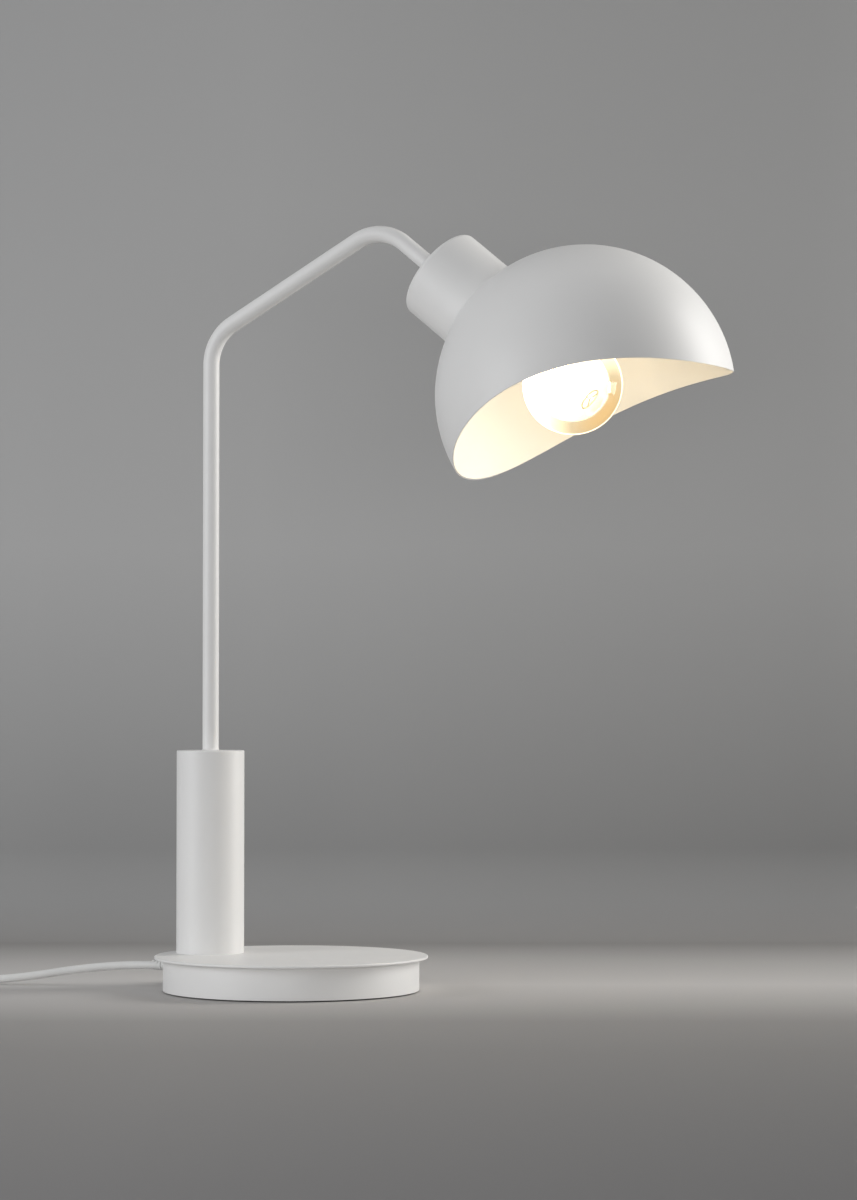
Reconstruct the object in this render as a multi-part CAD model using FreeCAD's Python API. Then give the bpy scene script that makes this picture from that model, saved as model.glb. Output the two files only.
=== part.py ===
import FreeCAD, Part
import math
import os

# A desk lamp: a round weighted base, a thick post behind the base's centre, a thin arm with two
# bends, and a dome shade whose opening is cut back in a curve, lit by a globe bulb.
#
# Millimetres. The origin is the centre of the base on the table, +Z is up, and the arm leans
# towards +X. Post, arm, neck and shade all lie in the plane y = 0.
# The head's own frame has its origin at the shade's sphere centre and +Z along the neck towards
# the opening, so a place along the neck is negative.

# ---------------------------------------------------------------- driving dimensions
# Base
plate_radius = 100.0
plate_thickness = 2.0
plate_edge_round = 0.8
base_height = 26.0
drum_radius = 93.6
drum_wall = 1.5
drum_flange_width = 8.0
drum_floor_gap = 0.8
cover_thickness = 1.2
cover_gap = 0.25
pad_thickness = 3.0
pad_inset = 3.85
pad_screw_hole_gap = 1.5
ballast_gap = 3.0
pocket_front_x = 16.0
pocket_left_y = 16.0
pocket_right_y = -32.0
standoff_radius = 5.0
standoff_height = 5.0
base_screw_circle = 60.0
base_screw_count = 3
base_screw_radius = 2.5
base_screw_head_radius = 4.5
base_screw_head_height = 2.0
base_screw_bite = 4.0
screw_hole_gap = 0.3
screw_slot_depth = 0.8
screw_slot_half_width = 0.6

# Post
post_offset = 67.0
post_radius = 25.0
post_wall = 2.0
post_height = 149.3
post_edge_round = 0.8
foot_plug_height = 14.0
foot_plug_floor = 6.0
top_guide_height = 10.0
slip_fit = 0.05
rod_hole_gap = 0.2

# Arm
arm_radius = 6.0
arm_bore_radius = 5.0
arm_bend_radius = 34.0
arm_lower_corner_z = 481.4
arm_run = 139.8
arm_upper_corner_z = 558.0
neck_descent = 39.5
arm_last_run = 58.3

# Hollow threaded rods that join tube to base and head to tube
rod_radius = 5.0
rod_bore_radius = 4.0
rod_bite = 12.0
rod_tail = 1.5
nut_flats = 15.0
nut_height = 4.0
tie_washer_radius = 9.5
tie_washer_thickness = 1.5

# Neck and shade
neck_radius = 34.8
neck_wall = 1.2
neck_to_centre = 146.9
neck_rear_round = 4.0
shade_radius = 106.0
shade_wall = 1.0
rim_radius = 227.0
rim_forward = 78.0
rim_below = 210.6
ring_collar_length = 10.0
ring_wall = 1.2
ring_flange_width = 8.5

# Swivel at the neck's rear wall
swivel_limit = 160.0
journal_gap = 0.05
face_gap = 0.05
thrust_washer_thickness = 0.5
friction_washer_radius = 11.0
friction_washer_thickness = 0.8
spring_washer_radius = 9.0
spring_washer_sheet = 0.5
spring_washer_rise = 0.7
stop_washer_radius = 8.5
stop_washer_thickness = 1.0
stop_tab_reach = 16.0
stop_gap = 0.1
stop_pin_circle = 13.5
stop_pin_radius = 1.5
stop_pin_length = 5.0
spacer_wall = 1.6

# Lampholder, as for a 27 mm screw cap
holder_rear = 33.0
holder_cap_length = 18.0
holder_cap_radius = 20.0
holder_boss_radius = 8.0
holder_boss_length = 6.0
holder_cap_wall = 2.5
holder_cap_slope = 4.0
nipple_past_boss = 1.0
holder_body_radius = 21.0
holder_body_length = 44.0
holder_lap = 4.0
holder_core_radius = 16.8
holder_core_floor = 8.0
thread_shell_radius = 13.9
thread_shell_sheet = 0.4
thread_shell_depth = 29.0
thread_shell_lip = 1.0
thread_shell_hole_radius = 9.5
contact_strip_width = 4.0
contact_strip_sheet = 0.5
contact_strip_reach = 7.0
contact_gap = 0.2
strip_clearance = 0.1
terminal_side = 5.0
terminal_spread = 8.5
terminal_screw_radius = 1.5
terminal_screw_height = 1.0

# Bulb
bulb_radius = 35.5
bulb_seat_rise = 3.4
bulb_neck_length = 8.07
bulb_glass_wall = 0.9
bulb_neck_radius = 12.7
bulb_flare_radius = 10.0
cap_radius = 13.2
cap_sheet = 0.4
cap_length = 25.0
cap_shoulder = 4.0
cap_insulator_radius = 8.0
cap_contact_radius = 4.8
cap_contact_height = 1.2
glass_lap = 6.0
cap_bevel = 1.0
cap_lip = 0.6
contact_bed = 1.0
contact_round = 0.84
stem_radius = 3.5
stem_length = 34.0
stem_flange = 1.0
stem_flare_length = 10.0
filament_count = 4
filament_radius = 0.9
filament_circle = 8.0
filament_reach = 16.0
support_radius = 0.5
spider_below_stem_tip = 5.0
spoke_turn = 45.0

# Cord and the wires inside
cord_radius = 3.0
wire_radius = 1.0
wire_spread = 1.8
wire_turn_radius = 6.0
wire_fan_length = 16.0
wire_fan_radius = 20.0
wire_end_radius = 2.5
wire_fan_gap = 2.0
wire_bite = 2.0
core_gap = 0.4
core_turn_radius = 4.0
core_turn_near = 8.0
core_turn_far = 13.0
exit_below_plate = 8.5
gland_length = 22.0
gland_root_radius = 4.6
gland_tip_radius = 3.5
gland_flange_radius = 6.5
gland_flange_thickness = 1.6
gland_neck_radius = 5.5
gland_fit = 0.1
gland_inner_gap = 0.5
gland_inner_length = 1.9
inner_cord_z = 8.2
inner_cord_y = -19.0
inner_cord_end_x = -2.0
inner_cord_start = 6.0
inner_cord_bend = (-69.0, -17.0)
inner_cord_straight = 4.0
inner_cord_radii = (8.0, 12.0, 16.0)
clip_x = -39.0
clip_length = 10.0
clip_width = 22.0
clip_roof = 2.0
block_rear_x = -30.0
block_length = 20.0
block_width = 22.0
block_height = 12.0
pole_y = 5.0
pole_hole_radius = 1.6
block_screw_radius = 1.4
inner_screw_radius = 1.5
inner_screw_head_radius = 2.6
inner_screw_head_height = 1.8
inner_screw_edge = 0.4
clamp_screw_sunk = 1.0
clamp_slot_depth = 0.6
clamp_slot_half_width = 0.3

# Free cord: the route's points, chosen by hand from where the cord lies
exit_z = base_height - plate_thickness - exit_below_plate
lead_points = [
    (-90.0, 0.0, exit_z),
    (-128.0, 0.0, exit_z),
    (-168.0, -16.5, 12.2),
    (-204.0, -31.0, 5.9),
    (-234.0, -42.0, 3.0),
    (-262.0, -51.0, 3.0),
    (-284.0, -60.0, 9.5),
    (-296.0, -65.0, 9.5),
]
tail_bend_points = [
    (-364.5, -93.5, 9.3),
    (-378.5, -106.5, 9.0),
    (-386.7, -124.0, 10.4),
]
end_points = [
    (-320.0, -194.5, 3.8),
    (-302.5, -191.0, 4.6),
    (-286.0, -185.0, 7.2),
    (-273.5, -181.0, 7.2),
]
coil_centre = (-340.6, -148.5)
coil_mean_radius = 36.0
coil_pitch = 6.6
coil_turns = 6.25
coil_start_angle = 180.0
coil_steps_per_turn = 4
tie_sheet = 0.8
tie_width = 12.0
tie_gap = 0.3
tie_round = 1.6
tie_angle = 45.0

# In-line switch
switch_length = 60.0
switch_width = 25.0
switch_corner_radius = 9.0
switch_wall = 1.6
switch_edge_round = 2.2
rocker_length = 19.0
rocker_width = 10.0
rocker_rise = 2.0
rocker_depth = 6.0
rocker_throw = 16.0
rocker_gap = 0.9
rocker_side_gap = 0.3
rocker_pin_radius = 1.0
rocker_pivot_drop = 3.5
switch_screw_spacing = 42.0
switch_boss_radius = 3.2
switch_boss_sink = 0.8
switch_screw_radius = 1.2
switch_screw_head_radius = 2.2
switch_screw_head_height = 1.2
switch_screw_sunk = 0.4
switch_screw_slot = 0.5
switch_screw_cover = 2.0
lug_thickness = 2.5
lug_half_width = 3.0
rocker_slot_depth = 8.0
rocker_foot_half = 3.0
rocker_end_draft = 1.0
rocker_edge_round = 0.6
rocker_dip = 1.5
contact_block_side = 5.0

# Plug with two 4 mm pins
plug_length = 36.0
plug_face_width = 35.3
plug_rear_width = 14.0
plug_shoulder = 14.0
plug_thickness = 14.4
plug_edge_round = 2.5
plug_relief_length = 16.0
plug_relief_radius = 4.6
plug_relief_tip = 3.4
plug_relief_bite = 1.0
plug_rim_round = 2.0
pin_nose_round = 1.2
pin_radius = 2.0
pin_length = 19.0
pin_spacing = 18.6
pin_embed = 6.0

# ---------------------------------------------------------------- derived places
V = FreeCAD.Vector
X_AXIS = V(1, 0, 0)
Y_AXIS = V(0, 1, 0)
Z_AXIS = V(0, 0, 1)
ORIGIN = V(0, 0, 0)

plate_under = base_height - plate_thickness
ballast_top = plate_under - standoff_height
cover_top = pad_thickness + cover_thickness
drum_inner_radius = drum_radius - drum_wall
ballast_radius = drum_inner_radius - ballast_gap
post_top = base_height + post_height
post_inner_radius = post_radius - post_wall
arm_foot_z = base_height + foot_plug_floor
nut_under_z = plate_under - tie_washer_thickness - nut_height

descent = math.radians(neck_descent)
NECK_AXIS = V(math.cos(descent), 0, -math.sin(descent))
post_foot = V(-post_offset, 0, arm_foot_z)
lower_corner = V(-post_offset, 0, arm_lower_corner_z)
upper_corner = V(arm_run - post_offset, 0, arm_upper_corner_z)
neck_rear = upper_corner + NECK_AXIS * arm_last_run
shade_centre = neck_rear + NECK_AXIS * neck_to_centre
arm_end = neck_rear - NECK_AXIS * thrust_washer_thickness
TURN_TO_HEAD = FreeCAD.Rotation(Y_AXIS, 90 + neck_descent)
HEAD = FreeCAD.Placement(shade_centre, TURN_TO_HEAD)

neck_wall_rear = -neck_to_centre
neck_wall_front = neck_wall_rear + neck_wall
neck_inner_radius = neck_radius - neck_wall
shade_inner_radius = shade_radius - shade_wall
friction_rear = neck_wall_front + face_gap
spring_rear = friction_rear + friction_washer_thickness
stop_rear = spring_rear + spring_washer_sheet + spring_washer_rise
nut_rear = stop_rear + stop_washer_thickness
spacer_rear = nut_rear + nut_height
stop_angle = math.radians(180 - swivel_limit)
stop_tab_width = 2 * (stop_pin_circle * math.sin(stop_angle) - stop_pin_radius - stop_gap)
holder_rear_z = neck_wall_rear + holder_rear
holder_core_rear = holder_rear_z + holder_cap_length
holder_floor_z = holder_core_rear + holder_core_floor
bulb_foot = holder_floor_z + bulb_seat_rise
cap_rim = bulb_foot + cap_length
flare_circle = bulb_neck_radius + bulb_flare_radius
bulb_flare_drop = math.sqrt((bulb_radius + bulb_flare_radius) ** 2 - flare_circle**2)
bulb_centre_z = cap_rim + bulb_neck_length + bulb_flare_drop
cap_bore_radius = cap_radius - cap_sheet
switch_height = 2 * lead_points[-1][2]


# ---------------------------------------------------------------- plain solids
def vec(point):
    return V(*point)


def rod(radius, length, base=ORIGIN, axis=Z_AXIS):
    return Part.makeCylinder(radius, length, base, axis)


def tube(outer, inner, length, base=ORIGIN, axis=Z_AXIS):
    return rod(outer, length, base, axis).cut(rod(inner, length, base, axis))


def block(x_range, y_range, z_range):
    size = [high - low for low, high in (x_range, y_range, z_range)]
    return Part.makeBox(*size, V(x_range[0], y_range[0], z_range[0]))


def polygon_face(points):
    corners = [vec(p) for p in points]
    return Part.Face(Part.makePolygon(corners + corners[:1]))


def lathe(profile):
    """A solid of revolution about Z, from corners given as (radius, z)."""
    return polygon_face([(r, 0, z) for r, z in profile]).revolve(ORIGIN, Z_AXIS, 360)


def hex_nut(flats, bore, height, base_z):
    corner = flats / math.sqrt(3)
    points = [
        (corner * math.cos(math.radians(60 * k)), corner * math.sin(math.radians(60 * k)), base_z)
        for k in range(6)
    ]
    return polygon_face(points).extrude(V(0, 0, height)).cut(rod(bore, height, V(0, 0, base_z)))


def screw(head_radius, head_height, shank_radius, shank_length, slot_depth=screw_slot_depth):
    """A cheese-head screw that stands on its head, with the shank upwards."""
    head = rod(head_radius, head_height)
    slot_side = (-screw_slot_half_width, screw_slot_half_width)
    slot = block((-head_radius, head_radius), slot_side, (0, slot_depth))
    shank = rod(shank_radius, shank_length, V(0, 0, head_height))
    return head.cut(slot).fuse(shank).removeSplitter()


def moved(shape, place):
    placed = shape.copy()
    placed.Placement = place.multiply(placed.Placement)
    return placed


def shifted(shape, offset):
    return moved(shape, FreeCAD.Placement(offset, FreeCAD.Rotation()))


def on_head(shape):
    return moved(shape, HEAD)


def around(shape, count, circle, start=0.0):
    """Copies of a shape on a circle about Z."""
    copies = []
    for k in range(count):
        angle = math.radians(start + 360.0 * k / count)
        copies.append(shifted(shape, V(circle * math.cos(angle), circle * math.sin(angle), 0)))
    return copies


def cut_all(shape, tools):
    for tool in tools:
        shape = shape.cut(tool)
    return shape


def save(name, shapes):
    """Write one piece, or a group of like pieces, to its own file."""
    solids = shapes if isinstance(shapes, list) else [shapes]
    solids = [s for shape in solids for s in shape.Solids]
    whole = solids[0] if len(solids) == 1 else Part.makeCompound(solids)
    if not whole.isValid():
        print("not valid:", name)
    whole.exportStep(os.path.join("parts", name + ".step"))
    volumes = sum(s.Volume for s in solids)
    print(f"{name:20s} solids {len(solids):2d}  volume {volumes:12.1f} mm3")


# ---------------------------------------------------------------- tubes along a route
def turn_between(before, here, after):
    return (here - before).getAngle(after - here)


def roomy_radii(points):
    """Each corner's radius: as large as 0.45 of its shorter run allows."""
    radii = []
    for before, here, after in zip(points, points[1:], points[2:]):
        shorter = min(here.distanceToPoint(before), here.distanceToPoint(after))
        radii.append(0.45 * shorter / math.tan(turn_between(before, here, after) / 2))
    return radii


def rounded_path(points, radii):
    """Straight runs joined by tangent arcs, as one wire."""
    edges = []
    last = points[0]
    for before, here, after, radius in zip(points, points[1:], points[2:], radii):
        half = turn_between(before, here, after) / 2
        back = (before - here).normalize()
        ahead = (after - here).normalize()
        setback = radius * math.tan(half)
        start = here + back * setback
        finish = here + ahead * setback
        inward = (back + ahead).normalize()
        middle = here + inward * (radius / math.cos(half) - radius)
        edges.append(Part.LineSegment(last, start).toShape())
        edges.append(Part.Arc(start, middle, finish).toShape())
        last = finish
    edges.append(Part.LineSegment(last, points[-1]).toShape())
    return Part.Wire(edges)


def swept(path, radius):
    """A round solid along a wire."""
    first = path.Edges[0]
    start = first.valueAt(first.FirstParameter)
    circle = Part.Circle(start, first.tangentAt(first.FirstParameter), radius)
    return path.makePipeShell([Part.Wire(circle.toShape())], True, False)


def free_tube(name, points):
    """A stretch of free cord, with its radii and its volume printed for checking."""
    route = [vec(p) for p in points]
    radii = roomy_radii(route)
    path = rounded_path(route, radii)
    solid = swept(path, cord_radius)
    expected = math.pi * cord_radius**2 * path.Length
    print(name, "length", round(path.Length, 1), "radii", [round(r) for r in radii])
    print(name, "volume over section times length", round(solid.Volume / expected, 4))
    return solid


# ---------------------------------------------------------------- base
def make_base():
    plate = rod(plate_radius, plate_thickness, V(0, 0, plate_under))
    plate = plate.makeFillet(plate_edge_round, [e for e in plate.Edges if len(e.Vertexes) == 1])
    rod_hole_radius = rod_radius + rod_hole_gap
    save("base_plate", plate.cut(rod(rod_hole_radius, base_height, V(-post_offset, 0, 0))))

    flange_thickness = drum_wall
    flange_inner = drum_inner_radius - drum_flange_width
    drum = lathe(
        [
            (drum_inner_radius, drum_floor_gap),
            (drum_radius, drum_floor_gap),
            (drum_radius, plate_under),
            (flange_inner, plate_under),
            (flange_inner, plate_under - flange_thickness),
            (drum_inner_radius, plate_under - flange_thickness),
        ]
    )
    gland_hole = rod(gland_neck_radius + gland_fit, drum_radius, V(0, 0, exit_z), -X_AXIS)
    save("base_drum", drum.cut(gland_hole))

    hole = base_screw_radius + screw_hole_gap
    ballast_height = ballast_top - cover_top
    ballast = rod(ballast_radius, ballast_height, V(0, 0, cover_top))
    pocket = block(
        (-plate_radius, pocket_front_x),
        (pocket_right_y, pocket_left_y),
        (cover_top, ballast_top),
    )
    screw_holes = around(rod(hole, base_height), base_screw_count, base_screw_circle)
    save("ballast", cut_all(ballast.cut(pocket), screw_holes))

    standoff = rod(standoff_radius, standoff_height, V(0, 0, ballast_top))
    thread = rod(base_screw_radius, base_screw_bite, V(0, 0, ballast_top))
    save("plate_standoffs", around(standoff.cut(thread), base_screw_count, base_screw_circle))

    cover = rod(drum_inner_radius - cover_gap, cover_thickness, V(0, 0, pad_thickness))
    small_holes = [
        rod(inner_screw_radius, cover_thickness, V(x, y, pad_thickness))
        for x, y in inner_screw_places()
    ]
    save("bottom_cover", cut_all(cover, screw_holes + small_holes))

    pad = rod(drum_inner_radius - pad_inset, pad_thickness)
    pad_hole = rod(base_screw_head_radius + pad_screw_hole_gap, pad_thickness)
    save("foot_pad", cut_all(pad, around(pad_hole, base_screw_count, base_screw_circle)))

    head_z = pad_thickness - base_screw_head_height
    shank = ballast_top + base_screw_bite - pad_thickness
    base_screw = screw(
        base_screw_head_radius, base_screw_head_height, base_screw_radius, shank
    )
    base_screw = shifted(base_screw, V(0, 0, head_z))
    save("base_screws", around(base_screw, base_screw_count, base_screw_circle))


# ---------------------------------------------------------------- wiring inside the base
def clip_screw_ys():
    half = clip_width / 2 - inner_screw_head_radius - inner_screw_edge
    return (inner_cord_y - half, inner_cord_y + half)


def inner_screw_places():
    places = [(clip_x, y) for y in clip_screw_ys()]
    return places + [(block_rear_x + block_length / 2, 0.0)]


def make_base_wiring():
    clip_top = inner_cord_z + cord_radius + clip_roof
    half_clip = clip_length / 2
    clip = block(
        (clip_x - half_clip, clip_x + half_clip),
        (inner_cord_y - clip_width / 2, inner_cord_y + clip_width / 2),
        (cover_top, clip_top),
    )
    cord_hole = rod(cord_radius, clip_length, V(clip_x - half_clip, inner_cord_y, inner_cord_z), X_AXIS)
    clip_holes = [rod(inner_screw_radius, base_height, V(clip_x, y, 0)) for y in clip_screw_ys()]
    save("cord_clip", cut_all(clip.cut(cord_hole), clip_holes))

    block_front_x = block_rear_x + block_length
    block_top = cover_top + block_height
    terminal = block(
        (block_rear_x, block_front_x),
        (-block_width / 2, block_width / 2),
        (cover_top, block_top),
    )
    pole_holes = [
        rod(pole_hole_radius, block_length, V(block_rear_x, y, inner_cord_z), X_AXIS)
        for y in (-pole_y, pole_y)
    ]
    centre_hole = rod(inner_screw_radius, block_height, V(inner_screw_places()[2][0], 0, cover_top))
    clamp_depth = block_top - inner_cord_z - wire_radius
    clamp_places = [
        V(x, y, block_top - clamp_depth)
        for x in (block_rear_x + terminal_side, block_front_x - terminal_side)
        for y in (-pole_y, pole_y)
    ]
    clamp_holes = [rod(block_screw_radius, clamp_depth, place) for place in clamp_places]
    save("terminal_block", cut_all(terminal, pole_holes + [centre_hole] + clamp_holes))
    clamp_top = clamp_depth - clamp_screw_sunk
    clamp_screw = rod(block_screw_radius, clamp_top)
    slot = block(
        (-block_screw_radius, block_screw_radius),
        (-clamp_slot_half_width, clamp_slot_half_width),
        (clamp_top - clamp_slot_depth, clamp_top),
    )
    save("terminal_screws", [shifted(clamp_screw.cut(slot), place) for place in clamp_places])

    screws = []
    for (x, y), top in zip(inner_screw_places(), (clip_top, clip_top, block_top)):
        upright = screw(
            inner_screw_head_radius,
            inner_screw_head_height,
            inner_screw_radius,
            top - pad_thickness,
        )
        flipped = moved(upright, FreeCAD.Placement(ORIGIN, FreeCAD.Rotation(X_AXIS, 180)))
        screws.append(shifted(flipped, V(x, y, top + inner_screw_head_height)))
    save("inner_screws", screws)

    flange_front = -drum_wall - gland_inner_gap
    gland_rear = flange_front - gland_inner_length
    gland_profile = [
        (cord_radius, gland_rear),
        (gland_flange_radius, gland_rear),
        (gland_flange_radius, flange_front),
        (gland_neck_radius, flange_front),
        (gland_neck_radius, 0.0),
        (gland_flange_radius, 0.0),
        (gland_flange_radius, gland_flange_thickness),
        (gland_root_radius, gland_flange_thickness),
        (gland_tip_radius, gland_length),
        (cord_radius, gland_length),
    ]
    outward = FreeCAD.Placement(V(-drum_radius, 0, exit_z), FreeCAD.Rotation(Y_AXIS, -90))
    save("cord_gland", moved(lathe(gland_profile), outward))

    inner_route = [
        vec(lead_points[0]),
        V(lead_points[0][0] + inner_cord_start, 0, exit_z),
        V(*inner_cord_bend, (exit_z + inner_cord_z) / 2),
        V(clip_x - half_clip - inner_cord_straight, inner_cord_y, inner_cord_z),
        V(inner_cord_end_x, inner_cord_y, inner_cord_z),
    ]
    save("cord_inner", swept(rounded_path(inner_route, inner_cord_radii), cord_radius))

    cores = []
    spread = wire_radius + core_gap
    for side, turn in ((1, core_turn_near), (-1, core_turn_far)):
        turn_x = inner_cord_end_x + turn
        start_y = inner_cord_y + side * spread
        route = [
            V(inner_cord_end_x, start_y, inner_cord_z),
            V(turn_x, start_y, inner_cord_z),
            V(turn_x, -side * pole_y, inner_cord_z),
            V(block_front_x - wire_bite, -side * pole_y, inner_cord_z),
        ]
        cores.append(swept(rounded_path(route, [core_turn_radius] * 2), wire_radius))
    save("mains_cores", cores)


# ---------------------------------------------------------------- post
def make_post():
    sleeve = rod(post_radius, post_height, V(-post_offset, 0, base_height))
    top_edge = [e for e in sleeve.Edges if e.BoundBox.ZMin > post_top - 1e-6]
    sleeve = sleeve.makeFillet(post_edge_round, top_edge)
    hollow = rod(post_inner_radius, post_height - post_wall, V(-post_offset, 0, base_height))
    arm_hole = rod(arm_radius + slip_fit, post_height, V(-post_offset, 0, base_height))
    save("post_sleeve", sleeve.cut(hollow).cut(arm_hole))

    guide_z = post_top - post_wall - top_guide_height
    guide = tube(
        post_inner_radius, arm_radius + slip_fit, top_guide_height, V(-post_offset, 0, guide_z)
    )
    save("post_top_guide", guide)

    plug = rod(post_inner_radius, foot_plug_height, V(-post_offset, 0, base_height))
    socket = rod(arm_radius + slip_fit, foot_plug_height, post_foot)
    through = rod(rod_radius + rod_hole_gap, foot_plug_floor, V(-post_offset, 0, base_height))
    save("post_foot_plug", plug.cut(socket).cut(through))

    rod_foot = nut_under_z - rod_tail
    tie = tube(
        rod_radius,
        rod_bore_radius,
        arm_foot_z + rod_bite - rod_foot,
        V(-post_offset, 0, rod_foot),
    )
    save("tie_rod", tie)
    washer = tube(
        tie_washer_radius,
        rod_radius + rod_hole_gap,
        tie_washer_thickness,
        V(-post_offset, 0, plate_under - tie_washer_thickness),
    )
    save("tie_washer", washer)
    save("tie_nut", shifted(hex_nut(nut_flats, rod_radius, nut_height, nut_under_z), V(-post_offset, 0, 0)))


# ---------------------------------------------------------------- arm
def make_arm():
    route = [post_foot, lower_corner, upper_corner, arm_end]
    path = rounded_path(route, [arm_bend_radius, arm_bend_radius])
    save("arm_tube", swept(path, arm_radius).cut(swept(path, arm_bore_radius)))

    # Each wire runs beside the arm's centre line, and ends in the two terminal blocks.
    fan_z = holder_rear_z + holder_boss_length + wire_fan_gap
    nipple_end = shade_centre + NECK_AXIS * fan_z
    terminal_mouth = shade_centre + NECK_AXIS * (holder_core_rear - terminal_side - wire_radius)
    for name, side in (("wire_live", 1), ("wire_neutral", -1)):
        offset = V(0, side * wire_spread, 0)
        wire_route = [
            V(block_rear_x + wire_bite, side * pole_y, inner_cord_z),
            V(block_rear_x - wire_fan_length, side * wire_spread, inner_cord_z),
            V(-post_offset, side * wire_spread, inner_cord_z),
            lower_corner + offset,
            upper_corner + offset,
            nipple_end + offset,
            terminal_mouth + V(0, side * terminal_spread, 0),
        ]
        bends = [arm_bend_radius, arm_bend_radius]
        radii = [wire_fan_radius, wire_turn_radius] + bends + [wire_end_radius]
        save(name, swept(rounded_path(wire_route, radii), wire_radius))


# ---------------------------------------------------------------- head: shade and neck
def make_shade():
    shell = Part.makeSphere(shade_radius).cut(Part.makeSphere(shade_inner_radius))
    pole_hole = rod(neck_inner_radius, 2 * shade_radius, ORIGIN, -Z_AXIS)
    shell = on_head(shell.cut(pole_hole))
    cutter_centre = shade_centre + V(rim_forward, -2 * shade_radius, -rim_below)
    cutter = rod(rim_radius, 4 * shade_radius, cutter_centre, Y_AXIS)
    save("shade_dome", shell.cut(cutter))

    neck_front = -math.sqrt(shade_radius**2 - neck_radius**2)
    cup = rod(neck_radius, neck_to_centre, V(0, 0, neck_wall_rear))
    rear_edge = [e for e in cup.Edges if e.BoundBox.ZMax < neck_wall_rear + 1e-6]
    cup = cup.makeFillet(neck_rear_round, rear_edge)
    hollow = rod(neck_inner_radius, neck_to_centre, V(0, 0, neck_wall_front))
    rear_inside = [e for e in hollow.Edges if e.BoundBox.ZMax < neck_wall_front + 1e-6]
    hollow = hollow.makeFillet(neck_rear_round - neck_wall, rear_inside)
    journal = rod(rod_radius + journal_gap, neck_to_centre, V(0, 0, neck_wall_rear))
    cup = cup.cut(hollow).cut(journal).cut(Part.makeSphere(shade_radius))
    save("neck_cup", on_head(cup))

    # The joining ring sits in the neck's mouth and its flange lies on the shade's inside.
    flange_radius = neck_inner_radius + ring_flange_width
    ring_bore = neck_inner_radius - ring_wall
    collar_rear = neck_front - ring_collar_length
    collar = tube(neck_inner_radius, ring_bore, shade_radius, V(0, 0, collar_rear))
    collar = collar.common(rod(neck_radius, ring_collar_length + shade_radius, V(0, 0, collar_rear)))
    flange_inner_sphere = Part.makeSphere(shade_inner_radius - ring_wall)
    flange = Part.makeSphere(shade_inner_radius).cut(flange_inner_sphere)
    flange = flange.common(tube(flange_radius, ring_bore, shade_radius, ORIGIN, -Z_AXIS))
    ring = collar.cut(flange_inner_sphere).fuse(flange)
    ring = ring.common(rod(flange_radius, shade_radius, V(0, 0, collar_rear)))
    ring = ring.cut(rod(flange_radius, shade_radius, ORIGIN)).removeSplitter()
    save("joining_ring", on_head(ring))

    pin = rod(stop_pin_radius, stop_pin_length, V(-stop_pin_circle, 0, neck_wall_front))
    save("stop_pin", on_head(pin))


# ---------------------------------------------------------------- head: swivel stack on the nipple
def make_swivel():
    thrust = tube(
        arm_radius,
        rod_radius,
        thrust_washer_thickness - face_gap,
        V(0, 0, neck_wall_rear - thrust_washer_thickness),
    )
    save("thrust_washer", on_head(thrust))
    nipple_rear = neck_wall_rear - thrust_washer_thickness - rod_bite
    nipple_front = holder_rear_z + holder_boss_length + nipple_past_boss
    nipple = tube(rod_radius, rod_bore_radius, nipple_front - nipple_rear, V(0, 0, nipple_rear))
    save("head_nipple", on_head(nipple))
    friction = tube(
        friction_washer_radius, rod_radius, friction_washer_thickness, V(0, 0, friction_rear)
    )
    save("friction_washer", on_head(friction))
    spring = lathe(
        [
            (rod_radius + slip_fit, spring_rear + spring_washer_rise),
            (spring_washer_radius, spring_rear),
            (spring_washer_radius, spring_rear + spring_washer_sheet),
            (rod_radius + slip_fit, spring_rear + spring_washer_rise + spring_washer_sheet),
        ]
    )
    save("spring_washer", on_head(spring))
    stop = rod(stop_washer_radius, stop_washer_thickness, V(0, 0, stop_rear))
    tab = block(
        (0, stop_tab_reach),
        (-stop_tab_width / 2, stop_tab_width / 2),
        (stop_rear, stop_rear + stop_washer_thickness),
    )
    stop = stop.fuse(tab).removeSplitter()
    stop = stop.cut(rod(rod_radius, stop_washer_thickness, V(0, 0, stop_rear)))
    save("stop_washer", on_head(stop))
    save("clamp_nut", on_head(hex_nut(nut_flats, rod_radius, nut_height, nut_rear)))
    spacer = tube(
        rod_radius + spacer_wall,
        rod_radius + slip_fit,
        holder_rear_z - spacer_rear,
        V(0, 0, spacer_rear),
    )
    save("holder_spacer", on_head(spacer))


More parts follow.
